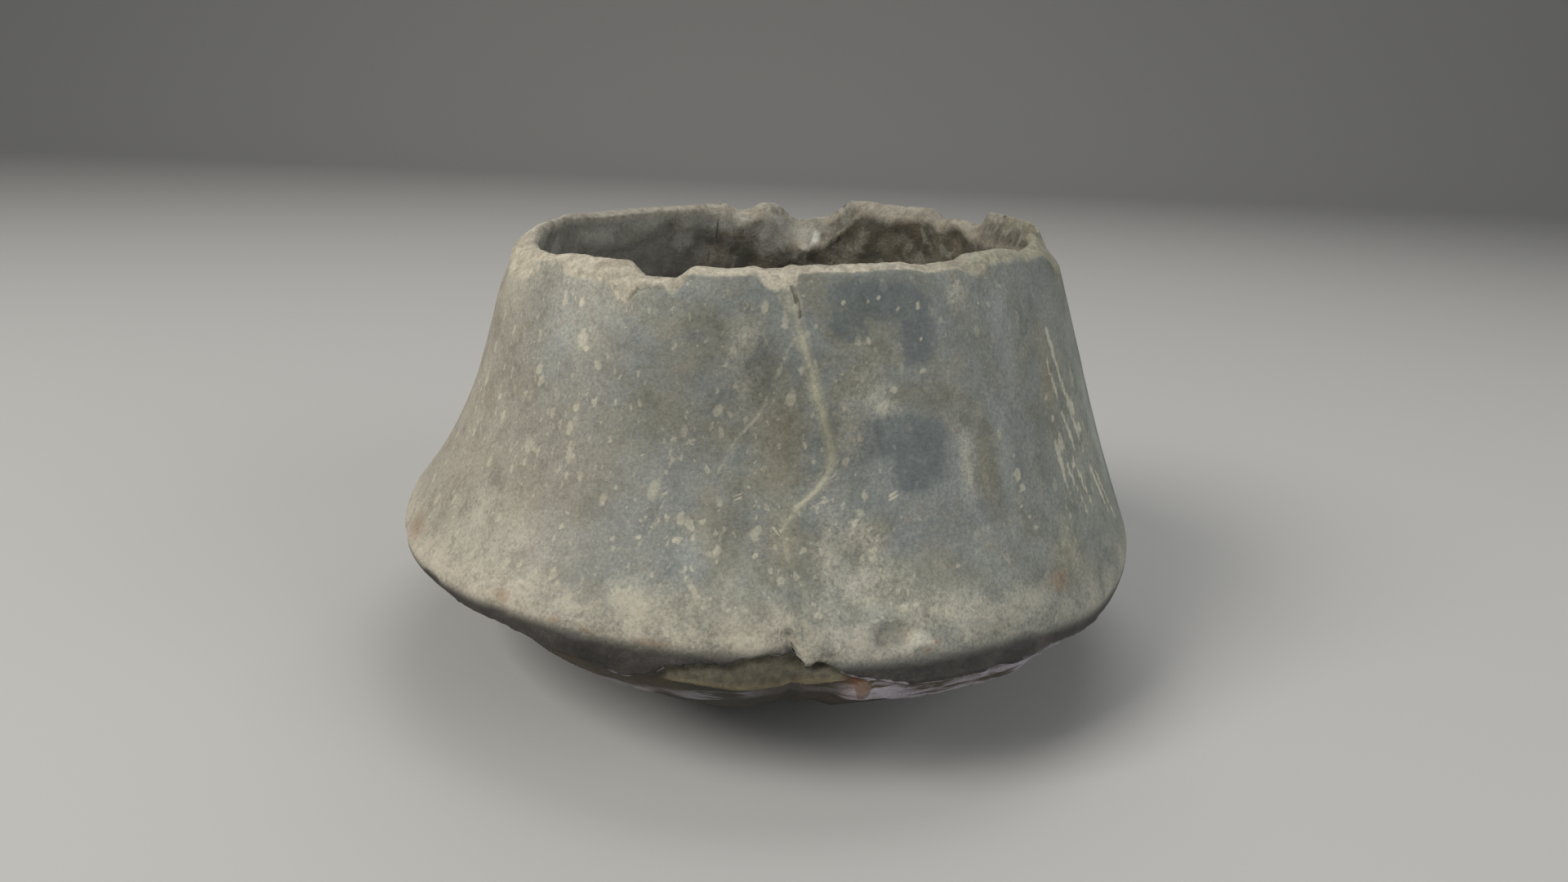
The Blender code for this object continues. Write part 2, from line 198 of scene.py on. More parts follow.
# Where the skin of the lower body ends, and the flakes below it, as (azimuth, height)
SKIN_EDGE = (
    (-180, 26.4), (-110, 26.8), (-60, 27), (-45, 27.6), (-31, 28.6), (-24.8, 28.5),
    (-20, 28.3), (-15.9, 27.4), (-12, 28.4), (-10.2, 29.9), (-7.9, 30), (-5.6, 31.1),
    (-3.5, 30.7), (-1.3, 31.9), (1.3, 32.9), (6.3, 32.9), (7.4, 31.6), (9.3, 30.1), (10.5, 29.4),
    (13.6, 28.6), (16.4, 27.6), (19.1, 27), (23.6, 26.9), (28.5, 27.3), (31, 27.4),
    (34.6, 26.8), (42.4, 25.5), (50, 25.2), (70, 25.6), (110, 25.6), (180, 26.4),
)
SECOND_EDGE = (
    (-180, 20), (-120, 22), (-60, 18.5), (-30, 19.1), (-12, 21.6), (4, 23.4),
    (10, 24.2), (14, 24.6), (19.4, 23.3), (22.6, 23.6), (28.5, 23.9), (34, 24.2), (44, 23.2),
    (60, 22.4), (90, 21.2), (130, 20.5), (180, 20),
)
# The scar's lower end, and the small brown nub beside it as azimuth, height and half sizes
SCAR_RIDGE = ((-12, 27.8), (-6, 27.2), (-2.2, 26.7), (6.4, 26.9), (11, 28.4))
NUB = (12.6, 27, 2.1, 2.3)

# Stains and patches on the outer face: azimuth and height, half width and half height
OCHRE_SPOTS = (
    (1.5, 68, 8, 17), (2.5, 52, 6, 13), (47, 41, 11, 9), (52, 76, 5, 17),
    (33, 60, 4, 13),
)
DARK_SPOTS = (
    (16.3, 92.8, 12.5, 5.6), (22.8, 89, 5, 8.4), (11.5, 88.5, 5.5, 4.2), (23, 84.5, 4.2, 4.6),
    (22, 66, 7.4, 8), (17.4, 69, 3.4, 5.5), (21, 61, 4.2, 3.2),
)
CRUST_SPOTS = (
    (-5, 85, 6, 7), (-4, 77, 4, 8), (14.5, 77.5, 5.5, 7.5), (11.5, 70.5, 4, 8),
    (17, 74, 5, 4), (13, 51, 6, 5), (12.5, 44, 12, 7.5), (22, 39, 13, 4.5),
    (8.5, 47, 4, 12), (36, 37, 14, 3.5), (31.5, 93, 3.5, 3), (30, 63, 3, 9),
    (-14, 39, 14, 5), (-5, 36, 13, 2.5), (-45, 44, 18, 9), (-1.2, 33.8, 3.4, 1.5),
)
MARKS = (
    (10.6, 92.1, 0.7, 0.8), (14.5, 92.9, 0.6, 0.7), (16.7, 93.1, 0.8, 0.6), (20.1, 91.5, 0.6, 0.7),
    (23.6, 91.8, 0.6, 1.1), (14.5, 85.4, 0.7, 0.8), (23.7, 85.7, 0.5, 0.6), (18.5, 76.8, 1.3, 0.9),
    (23.5, 80, 0.9, 0.8), (-7.8, 80.3, 0.9, 0.6), (9.5, 62, 0.8, 0.8), (7.7, 57.6, 0.8, 0.8),
    (6.2, 56.8, 0.5, 0.6), (12, 53.9, 1, 0.9), (14.2, 52.8, 1.1, 0.8), (17.5, 58.1, 0.8, 1.3),
    (15, 51.2, 0.7, 0.8), (16, 51.2, 0.6, 0.7), (14.5, 49.1, 1.1, 0.8), (21.6, 38.5, 0.9, 1.6),
    (19.7, 39.8, 0.8, 0.9), (17.8, 39.5, 0.9, 0.8), (26.1, 45.1, 0.5, 0.6), (-3.9, 57.9, 0.9, 0.7),
    (-1.5, 56.4, 0.7, 0.8), (-0.9, 48.3, 0.8, 0.9), (1.6, 52.6, 1.8, 0.7), (-32.9, 68.8, 0.7, 1.6),
    (-29.6, 70.7, 0.9, 1.8), (-33.1, 56.9, 0.6, 1), (-33.5, 80, 0.7, 1.3), (-37.4, 77.4, 0.5, 1.5),
    (-25.7, 76.2, 0.6, 0.9), (-14.4, 66.5, 0.8, 0.8), (-11.5, 66.5, 0.8, 0.8), (-19.3, 63.2, 0.7, 0.7),
    (-14.5, 56.6, 0.6, 0.6), (-8.6, 53, 0.8, 0.8), (-11.9, 49.7, 0.7, 0.6), (-17.1, 49.2, 0.9, 0.6),
    (-29.4, 47.8, 0.9, 0.8), (-55, 71.4, 1, 1.2), (-53.9, 65.5, 1, 0.9), (36.6, 67.1, 0.5, 3.2),
    (39, 62.4, 0.6, 1), (39.3, 59.1, 1.6, 1.7), (39.6, 56.2, 1.4, 1), (38.5, 52.8, 0.8, 0.6),
    (39.8, 50.9, 0.8, 0.6), (41.1, 48.7, 0.8, 0.8), (52.5, 62, 1.9, 3), (50.2, 71.5, 0.7, 0.9),
    (54.4, 72, 0.6, 0.8), (51.2, 67, 0.9, 1), (60, 67, 1.5, 2.4), (61.5, 62.5, 1.6, 1.8),
    (54.9, 56.5, 1.1, 0.9),
)
# Broad lighter and darker parts of the outer face, mostly painted light and shade and partly the clay's
# own colour; the last number says how much lighter
PAINTED_LIGHT_TONES = (
    (-7, 77, 27, 24, -0.2), (-18, 41, 20, 9, -0.08), (5, 67, 8, 11, -0.12),
    (44, 50, 14, 11, 0.08), (42, 92, 9, 8, 0.1), (-35, 87, 13, 12, 0.25),
    (64, 60, 24, 36, 0.28), (25, 45, 22, 10, 0.15), (-60, 60, 22, 20, 0.1),
    (-2.5, 43.5, 9, 6, 0.28), (-8.5, 48.5, 6, 5, 0.22), (-4.5, 53.5, 5, 5, -0.2),
    (11.5, 68.5, 8, 10, -0.3), (13.5, 79, 4.5, 4.5, -0.18), (-4, 64, 7, 5, 0.16),
    (14.5, 43.5, 9, 6, 0.18), (26, 50, 8, 10, -0.12), (47, 45, 10, 9, 0.16),
    (37, 36, 12, 5, -0.16), (-30, 43, 14, 8, 0.12), (-20, 89, 10, 8, 0.14),
    # Painted shade in the notch at the joint's corner and in the flake by the carination, and a painted
    # highlight beside that flake
    (7.2, 30.8, 2.5, 1.6, -0.5), (15.6, 35, 5.5, 3, -0.25), (19.6, 34.6, 2.6, 1.8, 0.4),
    (-2.5, 80, 5, 8, -0.25),
)
# Where a bluish highlight is painted into the colour of the outer face
PAINTED_SHEEN_SPOTS = (
    (41, 84, 7, 20), (37, 60, 4, 22), (72, 58, 8, 30), (-40, 80, 8, 14),
)
SCRATCHES = (
    ((50.5, 63), (51.5, 53)),
    ((53, 78), (55.5, 66), (57.5, 59)),
    ((58.5, 70), (61, 58)),
    ((62, 54), (66, 42)),
    ((55, 84), (57.5, 72), (60.5, 60)),
    ((53, 57), (56, 47)),
    ((55.5, 58), (58.5, 48)),
    ((64.5, 52), (69, 40)),
)
RUST_SPOTS = (
    (-20.5, 33.4, 4.5, 1.3), (-11.5, 33.6, 5.5, 1.5), (-25, 34.2, 3, 1.6), (-34, 35, 3.5, 1.8),
    (-5, 32.4, 3, 1), (20.4, 32.4, 1.2, 1.2), (21.5, 34, 1, 0.9), (43, 38, 6.5, 4.5),
    (-62, 35, 9, 4), (-78, 62, 6, 18),
)
# On the lip and the inner face: plaster and pale washes, a crack and raised lines
PLASTER_SPOTS = (
    (171.5, 89.5, 1.5, 4.5),
    (174, 87, 3.6, 1.6),
)
INNER_CRACK = ((-161.3, 101), (-160.6, 95.9), (-159.8, 90.5), (-158.5, 82.5), (-157, 70))
INNER_RIDGES = (
    ((160, 100), (163, 95), (170, 88), (177, 84), (186, 80)),
    ((144, 99), (149, 95), (157, 91), (160, 84)),
    ((120, 97), (127, 88), (139, 83)),
    ((-168, 94), (-163, 86), (-166, 76)),
    ((-140, 92), (-128, 88), (-118, 90)),
)
WASH_SPOTS = (
    (176, 92, 8, 6), (-176, 90, 8, 9), (-160, 94, 16, 3.5),
    (-120, 92, 9, 7), (-84, 94, 10, 9), (-100, 88, 6, 8),
    (-150, 88, 5, 4), (-135, 95, 16, 3),
)
# What masks of the outer face say on the lip and inside, where that isn't 0
BEYOND_OUTER = {"joint": FAR, "hair": FAR, "first": -FAR, "second": -FAR, "drop": -60.0}
# Flakes of lime: how many a metre, the share of places that hold one, their size and strength
LIME_FLAKES = ((650.0, 0.45, 0.42, 0.7), (300.0, 0.6, 0.38, 0.9), (150.0, 0.5, 0.28, 0.75))

# Colours, as screen values
SKIN_OLIVE = (112, 112, 101)
SKIN_BLUE = (104, 109, 107)
SKIN_WARM = (136, 129, 117)
SKIN_GREEN = (102, 106, 98)
# A painted bluish highlight, laid into the colour
PAINTED_SHEEN = (128, 132, 129)
UNWORN = (82, 88, 88)
OCHRE = (122, 112, 84)
DUST = (158, 155, 140)
FLAKE = (168, 163, 145)
WORN = (164, 157, 141)
RUST = (130, 106, 84)
FILL = (140, 139, 124)
FILL_RIDGE = (160, 156, 134)
CRACK = (62, 60, 50)
# The band below the carination, painted dark as the shade that falls under the bowl
SHADED_BAND_DARK = (46, 43, 41)
SHADED_BAND_PALE = (62, 58, 54)
SPALL_GREEN = (58, 56, 48)
SPALL_BROWN = (66, 56, 43)
RUST_DARK = (92, 60, 38)
TAN = (78, 74, 61)
TAN_LIGHT = (90, 85, 69)
# A painted highlight on the scar's lower ridge, which faces up
TAN_RIDGE_HIGHLIGHT = (122, 110, 86)
# Painted pale lilac rim light on the down-facing edges of the flaked layers
LILAC_RIM_LIGHT = (150, 145, 152)
NUB_BROWN = (100, 82, 70)
INNER_LIGHT = (132, 130, 120)
BREAK_GREY = (136, 130, 117)
INNER_DARK = (80, 76, 68)
INNER_BROWN = (98, 89, 74)
INNER_GREY = (152, 151, 141)
PLASTER = (196, 197, 190)
BREAK_PALE = (172, 164, 146)
BREAK_TAN = (140, 136, 117)
FLOOR = (168, 167, 164)

# Lights: name, place and side in metres, power and colour
LIGHTS = (
    ("key", (-0.85, -0.6, 0.95), 0.6, 17.0, (1.0, 0.97, 0.92)),
    ("fill", (0.95, -0.55, 0.55), 0.8, 6.0, (0.95, 0.97, 1.0)),
    ("top", (0.1, 0.5, 1.2), 0.9, 6.0, (1.0, 1.0, 1.0)),
)
LIGHT_TARGET = (0.0, 0.0, 0.05)
WORLD_STRENGTH = 0.22

# The camera: its focal length in pixels of the photograph, and its place in millimetres and degrees
PHOTO_WIDTH = 1920.0
SENSOR_WIDTH = 36.0
CAMERA_FOCAL = 1304.0
CAMERA_DISTANCE = 271.8
CAMERA_TARGET = (3.5, 0.0, 45.04)
CAMERA_ELEVATION = 17.5
CAMERA_ROLL = 2.4

# The mesh's rows and columns, and the radii at which the columns are halved on the way in
COLUMNS = 432
WALL_ROWS = 86
CREASE_ROWS = 18
BOWL_ROWS = 58
FOOT_ROWS = 7
LIP_ROWS = 10
INNER_WALL_ROWS = 34
INNER_BOWL_ROWS = 22
THINNING_RADII = (47.0, 23.0, 11.0, 5.0)


def ease(x):
    """0 below 0, 1 above 1, and a smooth step between."""
    x = np.clip(x, 0.0, 1.0)
    return x * x * (3.0 - 2.0 * x)


def bell(x):
    """1 at 0, falling away to 0 on both sides."""
    return np.exp(-(x**2))


def turn(azimuth, middle):
    """Degrees from the middle round to the azimuth, from -180 to 180."""
    return (azimuth - middle + 180.0) % 360.0 - 180.0


def patch(azimuth, middle, half_width, softness):
    """1 within the half width of the middle, falling to 0 over the softness."""
    return ease((half_width + softness - np.abs(turn(azimuth, middle))) / softness)


def losses(azimuth, places):
    """The amount that a list of (middle, half width, softness, amount) gives at an azimuth."""
    return sum(depth * patch(azimuth, middle, half, soft) for middle, half, soft, depth in places)


def along(path, value):
    """The second number of a path of pairs at a value of the first."""
    return np.interp(value, [p[0] for p in path], [p[1] for p in path])


def fractal(points, size, octaves=3, seed=0.0):
    """Noise from about -1 to 1 at points in millimetres, with features about the size across."""
    shift = Vector((seed * 13.7, seed * -7.9, seed * 5.3))
    flat = points.reshape(-1, 3) / size
    values = [noise.fractal(Vector(p) + shift, 1.0, 2.0, octaves) for p in flat]
    return np.array(values).reshape(points.shape[:-1])


def right_sherd(azimuth):
    """1 on the sherd to the right of the glued joint, fading out behind the vase."""
    start = ease(turn(azimuth, JOINT_AZIMUTH) / JOINT_WIDTH)
    return start * patch(azimuth, JOINT_AZIMUTH + 60.0, 60.0, 60.0)


def rim_line(azimuth):
    """Height of the rim's crest, with its losses."""
    tilt = RIM_TILT * np.cos(np.radians(azimuth - RIM_HIGH_SIDE))
    return RIM_HEIGHT + tilt - losses(azimuth, RIM_LOSSES)


def crease_height(azimuth):
    """Height of the carination, which steps down across the glued joint and sinks at the right."""
    left_sherd = patch(azimuth, JOINT_AZIMUTH - 40.0, 40.0 - JOINT_WIDTH, JOINT_WIDTH)
    by_joint = patch(azimuth, JOINT_AZIMUTH - 1.5, 1.0, 5.0)
    sunk = ease((turn(azimuth, JOINT_AZIMUTH) - 24.0) / 22.0)
    left = SHERD_RISE_LEFT * ease((azimuth + 62.0) / 40.0) + SHERD_RISE_JOINT * by_joint
    right = SHERD_RISE_RIGHT - SHERD_DROP_RIGHT * sunk
    return CARINATION_HEIGHT + left * left_sherd + right * right_sherd(azimuth)


def wall_foot(azimuth, height):
    """Height at which the wall's line meets the carination; it follows the broken edge low down."""
    plain = CARINATION_HEIGHT - 0.5 * WALL_SINK * (1.0 + np.sin(np.radians(azimuth)))
    return plain + (crease_height(azimuth) - plain) * ease((plain + 18.0 - height) / 16.0)


def wall_radius(azimuth, height):
    """Radius of the outer face of the upper wall at a height."""
    down = (RIM_HEIGHT - height) / (RIM_HEIGHT - wall_foot(azimuth, height))
    hollow = WALL_HOLLOW - WALL_HOLLOW_LEFT * np.sin(np.radians(azimuth))
    sag = hollow * 4.0 * down * (1.0 - down) * (0.45 + 1.1 * down)
    return RIM_RADIUS + (CARINATION_RADIUS - RIM_RADIUS) * down - sag


def bowl_fullness(azimuth):
    """The exponent of the bowl's section: half gives an ellipse, and more a leaner bowl."""
    return BOWL_FULLNESS + losses(azimuth, BOWL_LEAN)


def bowl_height(share, crease, depth, fullness):
    """Height of a bowl's section at a share of its radius; the depth is at its middle."""
    return crease - depth * (1.0 - share**2) ** fullness


def bowl_depth(crease, fullness):
    """Depth at which the outer bowl's section reaches the standing plane at the foot's edge."""
    return crease / (1.0 - (FOOT_RADIUS / CARINATION_RADIUS) ** 2) ** fullness


def column_azimuths():
    """The columns' azimuths, twice as close together in front as behind."""
    fine = np.linspace(-180.0, 180.0, 3601)
    density = 1.0 + 1.1 * patch(fine, 0.0, 75.0, 50.0)
    travelled = np.concatenate([[0.0], np.cumsum(0.5 * (density[1:] + density[:-1]))])
    return np.interp(np.arange(COLUMNS) / COLUMNS * travelled[-1], travelled, fine)


def column_shift(azimuth, height):
    """Degrees by which the columns near the glued joint swing, to follow it up the wall."""
    path = along(JOINT_BY_HEIGHT, height) - JOINT_AZIMUTH
    return path * patch(azimuth, JOINT_AZIMUTH, 4.0, 36.0) * ease((height - CARINATION_HEIGHT) / 4.0)


def rim_azimuth(azimuth):
    """Where the columns are at the rim, once they have swung with the joint."""
    return azimuth + column_shift(azimuth, RIM_HEIGHT)


def outer_rows(azimuth):
    """(radius, height) of the outer face from the rim's edge to the foot, rows by columns."""
    crease = crease_height(azimuth)
    at_rim = rim_azimuth(azimuth)
    ragged = 0.35 * np.sin(np.radians(azimuth * 61.0)) + 0.25 * np.sin(np.radians(azimuth * 97.0 + 50.0))
    top = rim_line(at_rim) - LIP_ROUNDING - losses(at_rim, OUTER_CHIPS) - 0.4 * np.abs(ragged)
    rounding = CREASE_ROUNDING + losses(azimuth, CREASE_WEAR)
    wall_end = crease + rounding
    share = np.linspace(0.0, 1.0, WALL_ROWS)[:, None]
    height = top + (wall_end - top) * share
    wall = np.stack([wall_radius(azimuth, height), height], axis=-1)
    start = np.sqrt(1.0 - (1.0 - 0.5 * rounding / CARINATION_RADIUS) ** 2)
    foot = np.sqrt(1.0 - (FOOT_RADIUS / CARINATION_RADIUS) ** 2)
    fullness = bowl_fullness(azimuth)
    depth = bowl_depth(crease, fullness)
    share = np.linspace(0.0, 1.0, BOWL_ROWS)[:, None]
    rise = start + (foot - start) * share**1.3
    radius_share = np.sqrt(1.0 - rise**2)
    bowl_section = bowl_height(radius_share, crease, depth, fullness)
    bowl = np.stack([CARINATION_RADIUS * radius_share, bowl_section], axis=-1)
    share = np.linspace(0.0, 1.0, CREASE_ROWS + 2)[1:-1, None, None]
    corner = np.stack([np.full_like(crease, CARINATION_RADIUS), crease], axis=-1)
    bend = (1.0 - share) ** 2 * wall[-1] + 2.0 * share * (1.0 - share) * corner + share**2 * bowl[0]
    return np.concatenate([wall, bend, bowl])


def inner_rows(azimuth):
    """(radius, height) of the inner face from the rim's edge towards the middle of the floor."""
    crease = crease_height(azimuth) + 0.5 * WALL
    at_rim = rim_azimuth(azimuth)
    top = rim_line(at_rim) - LIP_ROUNDING - losses(at_rim, INNER_CHIPS)
    slope = (CARINATION_RADIUS - RIM_RADIUS) / (RIM_HEIGHT - CARINATION_HEIGHT)
    thickness = WALL * np.hypot(1.0, slope)
    share = np.linspace(0.0, 1.0, INNER_WALL_ROWS)[:, None]
    height = top + (crease - top) * share
    wall = np.stack([wall_radius(azimuth, height) - thickness, height], axis=-1)
    belly = wall_radius(azimuth, crease) - thickness
    share = np.linspace(0.0, 1.0, INNER_BOWL_ROWS + 1)[1:, None]
    rise = np.sin(np.radians(90.0) * share**0.9) * 0.9999
    radius_share = np.maximum(np.sqrt(1.0 - rise**2), 0.02)
    floor = bowl_height(radius_share, crease, crease - FLOOR_THICKNESS, bowl_fullness(azimuth))
    bowl = np.stack([belly * radius_share, floor], axis=-1)
    return np.concatenate([wall, bowl])


def lip_rows(azimuth, outer_edge, inner_edge):
    """The broken top of the wall between its two edges, with its crest away from the deeper bevel."""
    crest = rim_line(rim_azimuth(azimuth))
    outer_fall, inner_fall = crest - outer_edge[:, 1], crest - inner_edge[:, 1]
    ridge = 0.5 + 0.28 * ease((outer_fall - 1.5) / 2.5) - 0.2 * ease((inner_fall - 1.5) / 2.5)
    share = np.linspace(0.0, 1.0, LIP_ROWS + 2)[1:-1, None]
    outside = share < ridge
    depth = np.where(outside, outer_fall, inner_fall)
    fall = np.where(outside, (ridge - share) / ridge, (share - ridge) / (1.0 - ridge))
    power = 2.6 - 1.4 * ease((depth - 1.5) / 2.5)
    radius = outer_edge[:, 0] + (inner_edge[:, 0] - outer_edge[:, 0]) * share
    return np.stack([radius, crest - depth * fall**power], axis=-1)


def length_below_crease(rows, azimuth):
    """Length down each column, whose rows go up, from the carination; negative above it."""
    steps = np.linalg.norm(np.diff(rows, axis=0), axis=-1)
    travelled = np.concatenate([np.zeros((1, rows.shape[1])), np.cumsum(steps, axis=0)])
    crease = crease_height(azimuth)
    at = [np.interp(crease[i], rows[:, i, 1], travelled[:, i]) for i in range(len(crease))]
    return np.array(at) - travelled


def in_space(azimuth, rows):
    """Points in space for rows of (radius, height), the upper wall leaning with the rim's shift."""
    radius, height = rows[..., 0], rows[..., 1]
    angle = np.radians(azimuth + column_shift(azimuth, height))
    rise = (height - CARINATION_HEIGHT) / (RIM_HEIGHT - CARINATION_HEIGHT)
    lean = RIM_SHIFT * np.clip(rise, 0.0, None)
    return np.stack([radius * np.sin(angle) + lean, -radius * np.cos(angle), height], axis=-1)


def grid_normals(points):
    """Unit normals of a grid of points whose columns close round the vase."""
    onward = np.gradient(points, axis=0)
    across = np.roll(points, -1, axis=1) - np.roll(points, 1, axis=1)
    normals = np.cross(across, onward)
    return normals / np.maximum(np.linalg.norm(normals, axis=-1, keepdims=True), 1e-9)


def distance_to_path(azimuth, height, radius, path):
    """Distance over the surface to a line of (azimuth, height) points."""
    best = np.full(height.shape, FAR)
    for (a0, z0), (a1, z1) in zip(path, path[1:]):
        across = np.radians(turn(azimuth, a0)) * radius
        along_x, along_z = np.radians(turn(a1, a0)) * radius, z1 - z0
        length = along_x**2 + along_z**2
        share = np.clip((across * along_x + (height - z0) * along_z) / length, 0.0, 1.0)
        best = np.minimum(best, np.hypot(across - share * along_x, height - z0 - share * along_z))
    return best


def nearest(azimuth, height, radius, paths):
    """Distance over the surface to the nearest of several lines."""
    return np.minimum.reduce([distance_to_path(azimuth, height, radius, path) for path in paths])


def spot(azimuth, height, radius, place):
    """1 in the middle of a soft oval at (azimuth, height, half width, half height), 0 beyond it."""
    middle, level, wide, tall = place
    across = np.radians(turn(azimuth, middle)) * radius / wide
    return np.clip(1.0 - np.hypot(across, (height - level) / tall), 0.0, 1.0)


def block(azimuth, height, radius, place):
    """1 in the middle of a soft rectangle, placed as a spot is, 0 beyond it."""
    middle, level, wide, tall = place
    across = np.abs(np.radians(turn(azimuth, middle)) * radius / wide)
    up = np.abs((height - level) / tall)
    return np.clip(1.0 - (across**3 + up**3) ** (1.0 / 3.0), 0.0, 1.0)


def strongest(shape, at, places):
    """The strongest of several spots or blocks at (azimuth, height, radius)."""
    return np.maximum.reduce([shape(*at, place) for place in places])


def stains(at, medium):
    """The masks of the stains and marks of the outer face, of its painted highlight, and of its lighter
    and darker parts with their painted light and shade, at (azimuth, height, radius).
    """
    azimuth, height, radius = at
    masks = {
        "ochre": strongest(spot, at, OCHRE_SPOTS),
        "dark": strongest(block, at, DARK_SPOTS),
        "crust": strongest(spot, at, CRUST_SPOTS),
        "painted_sheen": strongest(spot, at, PAINTED_SHEEN_SPOTS),
        "rust": strongest(spot, at, RUST_SPOTS),
        "painted_light_tone": sum(amount * ease(1.6 * spot(*at, place)) for *place, amount in PAINTED_LIGHT_TONES),
    }
    scratch = nearest(azimuth + 0.4 * medium, height, radius, SCRATCHES)
    scratch = 0.75 * np.clip(1.0 - scratch / 0.9 - 0.5 * medium, 0.0, 1.0)
    masks["marks"] = np.maximum(strongest(spot, at, MARKS), scratch)
    return masks


def outer_fields(azimuth, rows, points):
    """What the outer face carries at each point: relief in millimetres and masks for its colours."""
    height, radius = rows[..., 1], rows[..., 0]
    az = azimuth + column_shift(azimuth, height)
    at = (az, height, radius)
    wave = np.radians(az)
    below = length_below_crease(rows, azimuth)
    drop = crease_height(az) - height
    coarse = fractal(points, 26.0, 2, 1.0)
    medium = fractal(points, 7.0, 3, 2.0)
    fine = fractal(points, 2.2, 3, 3.0)
    lower = ease(drop / 1.2)

    joint = np.radians(turn(az, along(JOINT_BY_HEIGHT, height))) * radius + 0.5 * medium
    joint = np.where(drop > 2.0, FAR, joint)
    hair = nearest(*at, HAIRLINES) + 0.35 * fine
    split = nearest(*at, DARK_HAIRLINES) + 0.3 * fine

    # The two broken edges of the lower body's layers, the scar in front and their lifted rims
    first = along(SKIN_EDGE, az) - 0.3 * medium - 0.15 * fine - height
    second = along(SECOND_EDGE, az) - 0.8 * medium - 0.3 * fine - height
    off_skin = ease(first / 0.45 + 0.5)
    in_scar = patch(az, 0.0, 9.6, 1.6)
    ridge = along(SKIN_EDGE, az) - along(SCAR_RIDGE, az)
    across_scar = np.clip(first / np.maximum(ridge, 0.5), 0.0, 1.4)
    scar = in_scar * off_skin * ease((1.12 - across_scar) / 0.15)
    scarred = SCAR_DEPTH * (1.0 - 0.75 * ease(across_scar)) * scar
    spalled = SPALL_DEPTH * off_skin * (1.0 - scar)
    flaked = (FLAKE_DEPTH - FLAKE_EASE * patch(az, -4.0, 10.0, 7.0)) * ease(second / 0.5 + 0.5)
    rough = off_skin * (0.22 * medium + 0.16 * fine)
    lifted = ease(0.5 + 1.2 * fractal(points, 9.0, 2, 6.0))
    thin = 0.3 + 0.2 * patch(az, 22.0, 16.0, 8.0) + 0.5 * patch(az, -9.5, 2.5, 1.5)
    wide = 0.5 + 1.2 * patch(az, 22.0, 10.0, 10.0)
    ledge_one = np.maximum(lifted, patch(az, 24.0, 18.0, 12.0)) * patch(az, 5.0, 50.0, 40.0)
    ledge_two = np.maximum(lifted, patch(az, 26.0, 16.0, 12.0)) * (1.0 - 0.75 * patch(az, 5.0, 4.5, 2.5))
    ledge = np.maximum(bell(first / thin) * ledge_one, bell(second / wide) * ledge_two)
    fade = ease((44.0 - below) / 14.0)
    nub = spot(*at, NUB)

    uneven = np.sin(3.0 * wave + 0.9 + 0.022 * below) + 0.6 * np.sin(5.0 * wave - 1.7 - 0.040 * below)
    swell = losses(azimuth, BOWL_SWELLS) * ease(below / 8.5)
    sherd = right_sherd(np.broadcast_to(azimuth, height.shape))
    proud = SHERD_PROUD * sherd * ease(1.0 - np.abs(below) / (0.3 * RIM_HEIGHT))
    chips = np.zeros(height.shape)
    for *place, depth in CREASE_CHIPS:
        lost = spot(az + 1.1 * medium, 1.3 * coarse - below, radius, place)
        chips = np.maximum(chips, depth * ease(2.6 * lost))
    open_joint = GROOVE_DEPTH + GROOVE_DEEPER_LOW * ease((44.0 - height) / 8.0)
    groove = open_joint * bell(joint / 0.45) - 0.16 * bell((joint - 1.3) / 0.9)
    filled = (0.2 + 0.25 * medium) * bell((joint + 0.9) / 1.7) * ease((height - 62.0) / 14.0)
    seam = HAIRLINE_DEPTH * bell(hair / 0.35) + CRACK_DEPTH * bell(split / 0.45)
    pits = PIT_DEPTH * ease((fractal(points, 3.1, 2, 8.0) - 0.72) / 0.3)
    relief = (
        (0.5 * uneven + swell) * ease((42.5 - below) / 8.5)
        + proud
        - chips
        + 0.22 * coarse
        + 0.05 * medium
        + 0.03 * fine
        - groove
        + filled
        - seam
        - pits * (1.0 - lower)
        - lower * fade * (scarred + spalled + flaked + rough)
        + LEDGE_HEIGHT * lower * ledge
        - 0.15 * bell(below / 9.0)
        - LEFT_FLAT_DEPTH * patch(az, -90.0, 14.0, 24.0) * bell((height - 91.5) / 5.5)
        + NUB_HEIGHT * ease(nub * 1.6)
    )
    return relief, stains(at, medium) | {
        "joint": joint,
        "hair": hair,
        "split": split,
        "drop": drop,
        "first": np.where(drop > 0.4, np.clip(first, -30.0, 30.0), -30.0),
        "second": np.clip(second, -30.0, 30.0),
        "scar": in_scar * lower,
        "ledge_one": ledge_one * lower,
        "ledge_two": ledge_two * lower,
        "across_scar": across_scar,
        "nub": nub,
    }


def inner_relief(azimuth, rows, points):
    """The lumps and finger marks of the inner face, in millimetres."""
    radius, height = rows[..., 0], rows[..., 1]
    az = np.broadcast_to(azimuth, height.shape)
    lumps = fractal(points * (1.0, 1.0, 1.6), 13.0, 3, 11.0)
    facets = 1.0 - 2.0 * np.abs(fractal(points, 9.0, 3, 13.0))
    small = fractal(points, 4.0, 3, 12.0)
    rough_side = 0.35 + 0.65 * patch(az, 140.0, 48.0, 30.0)
    near_floor = ease(radius / 20.0)
    ridge = nearest(az, height, radius, INNER_RIDGES)
    ridge = INNER_RIDGE_HEIGHT * bell((ridge + 1.2 * small) / 1.9)
    return ((0.7 * lumps + 0.5 * facets) * rough_side + 0.35 * small + ridge) * (0.3 + 0.7 * near_floor)


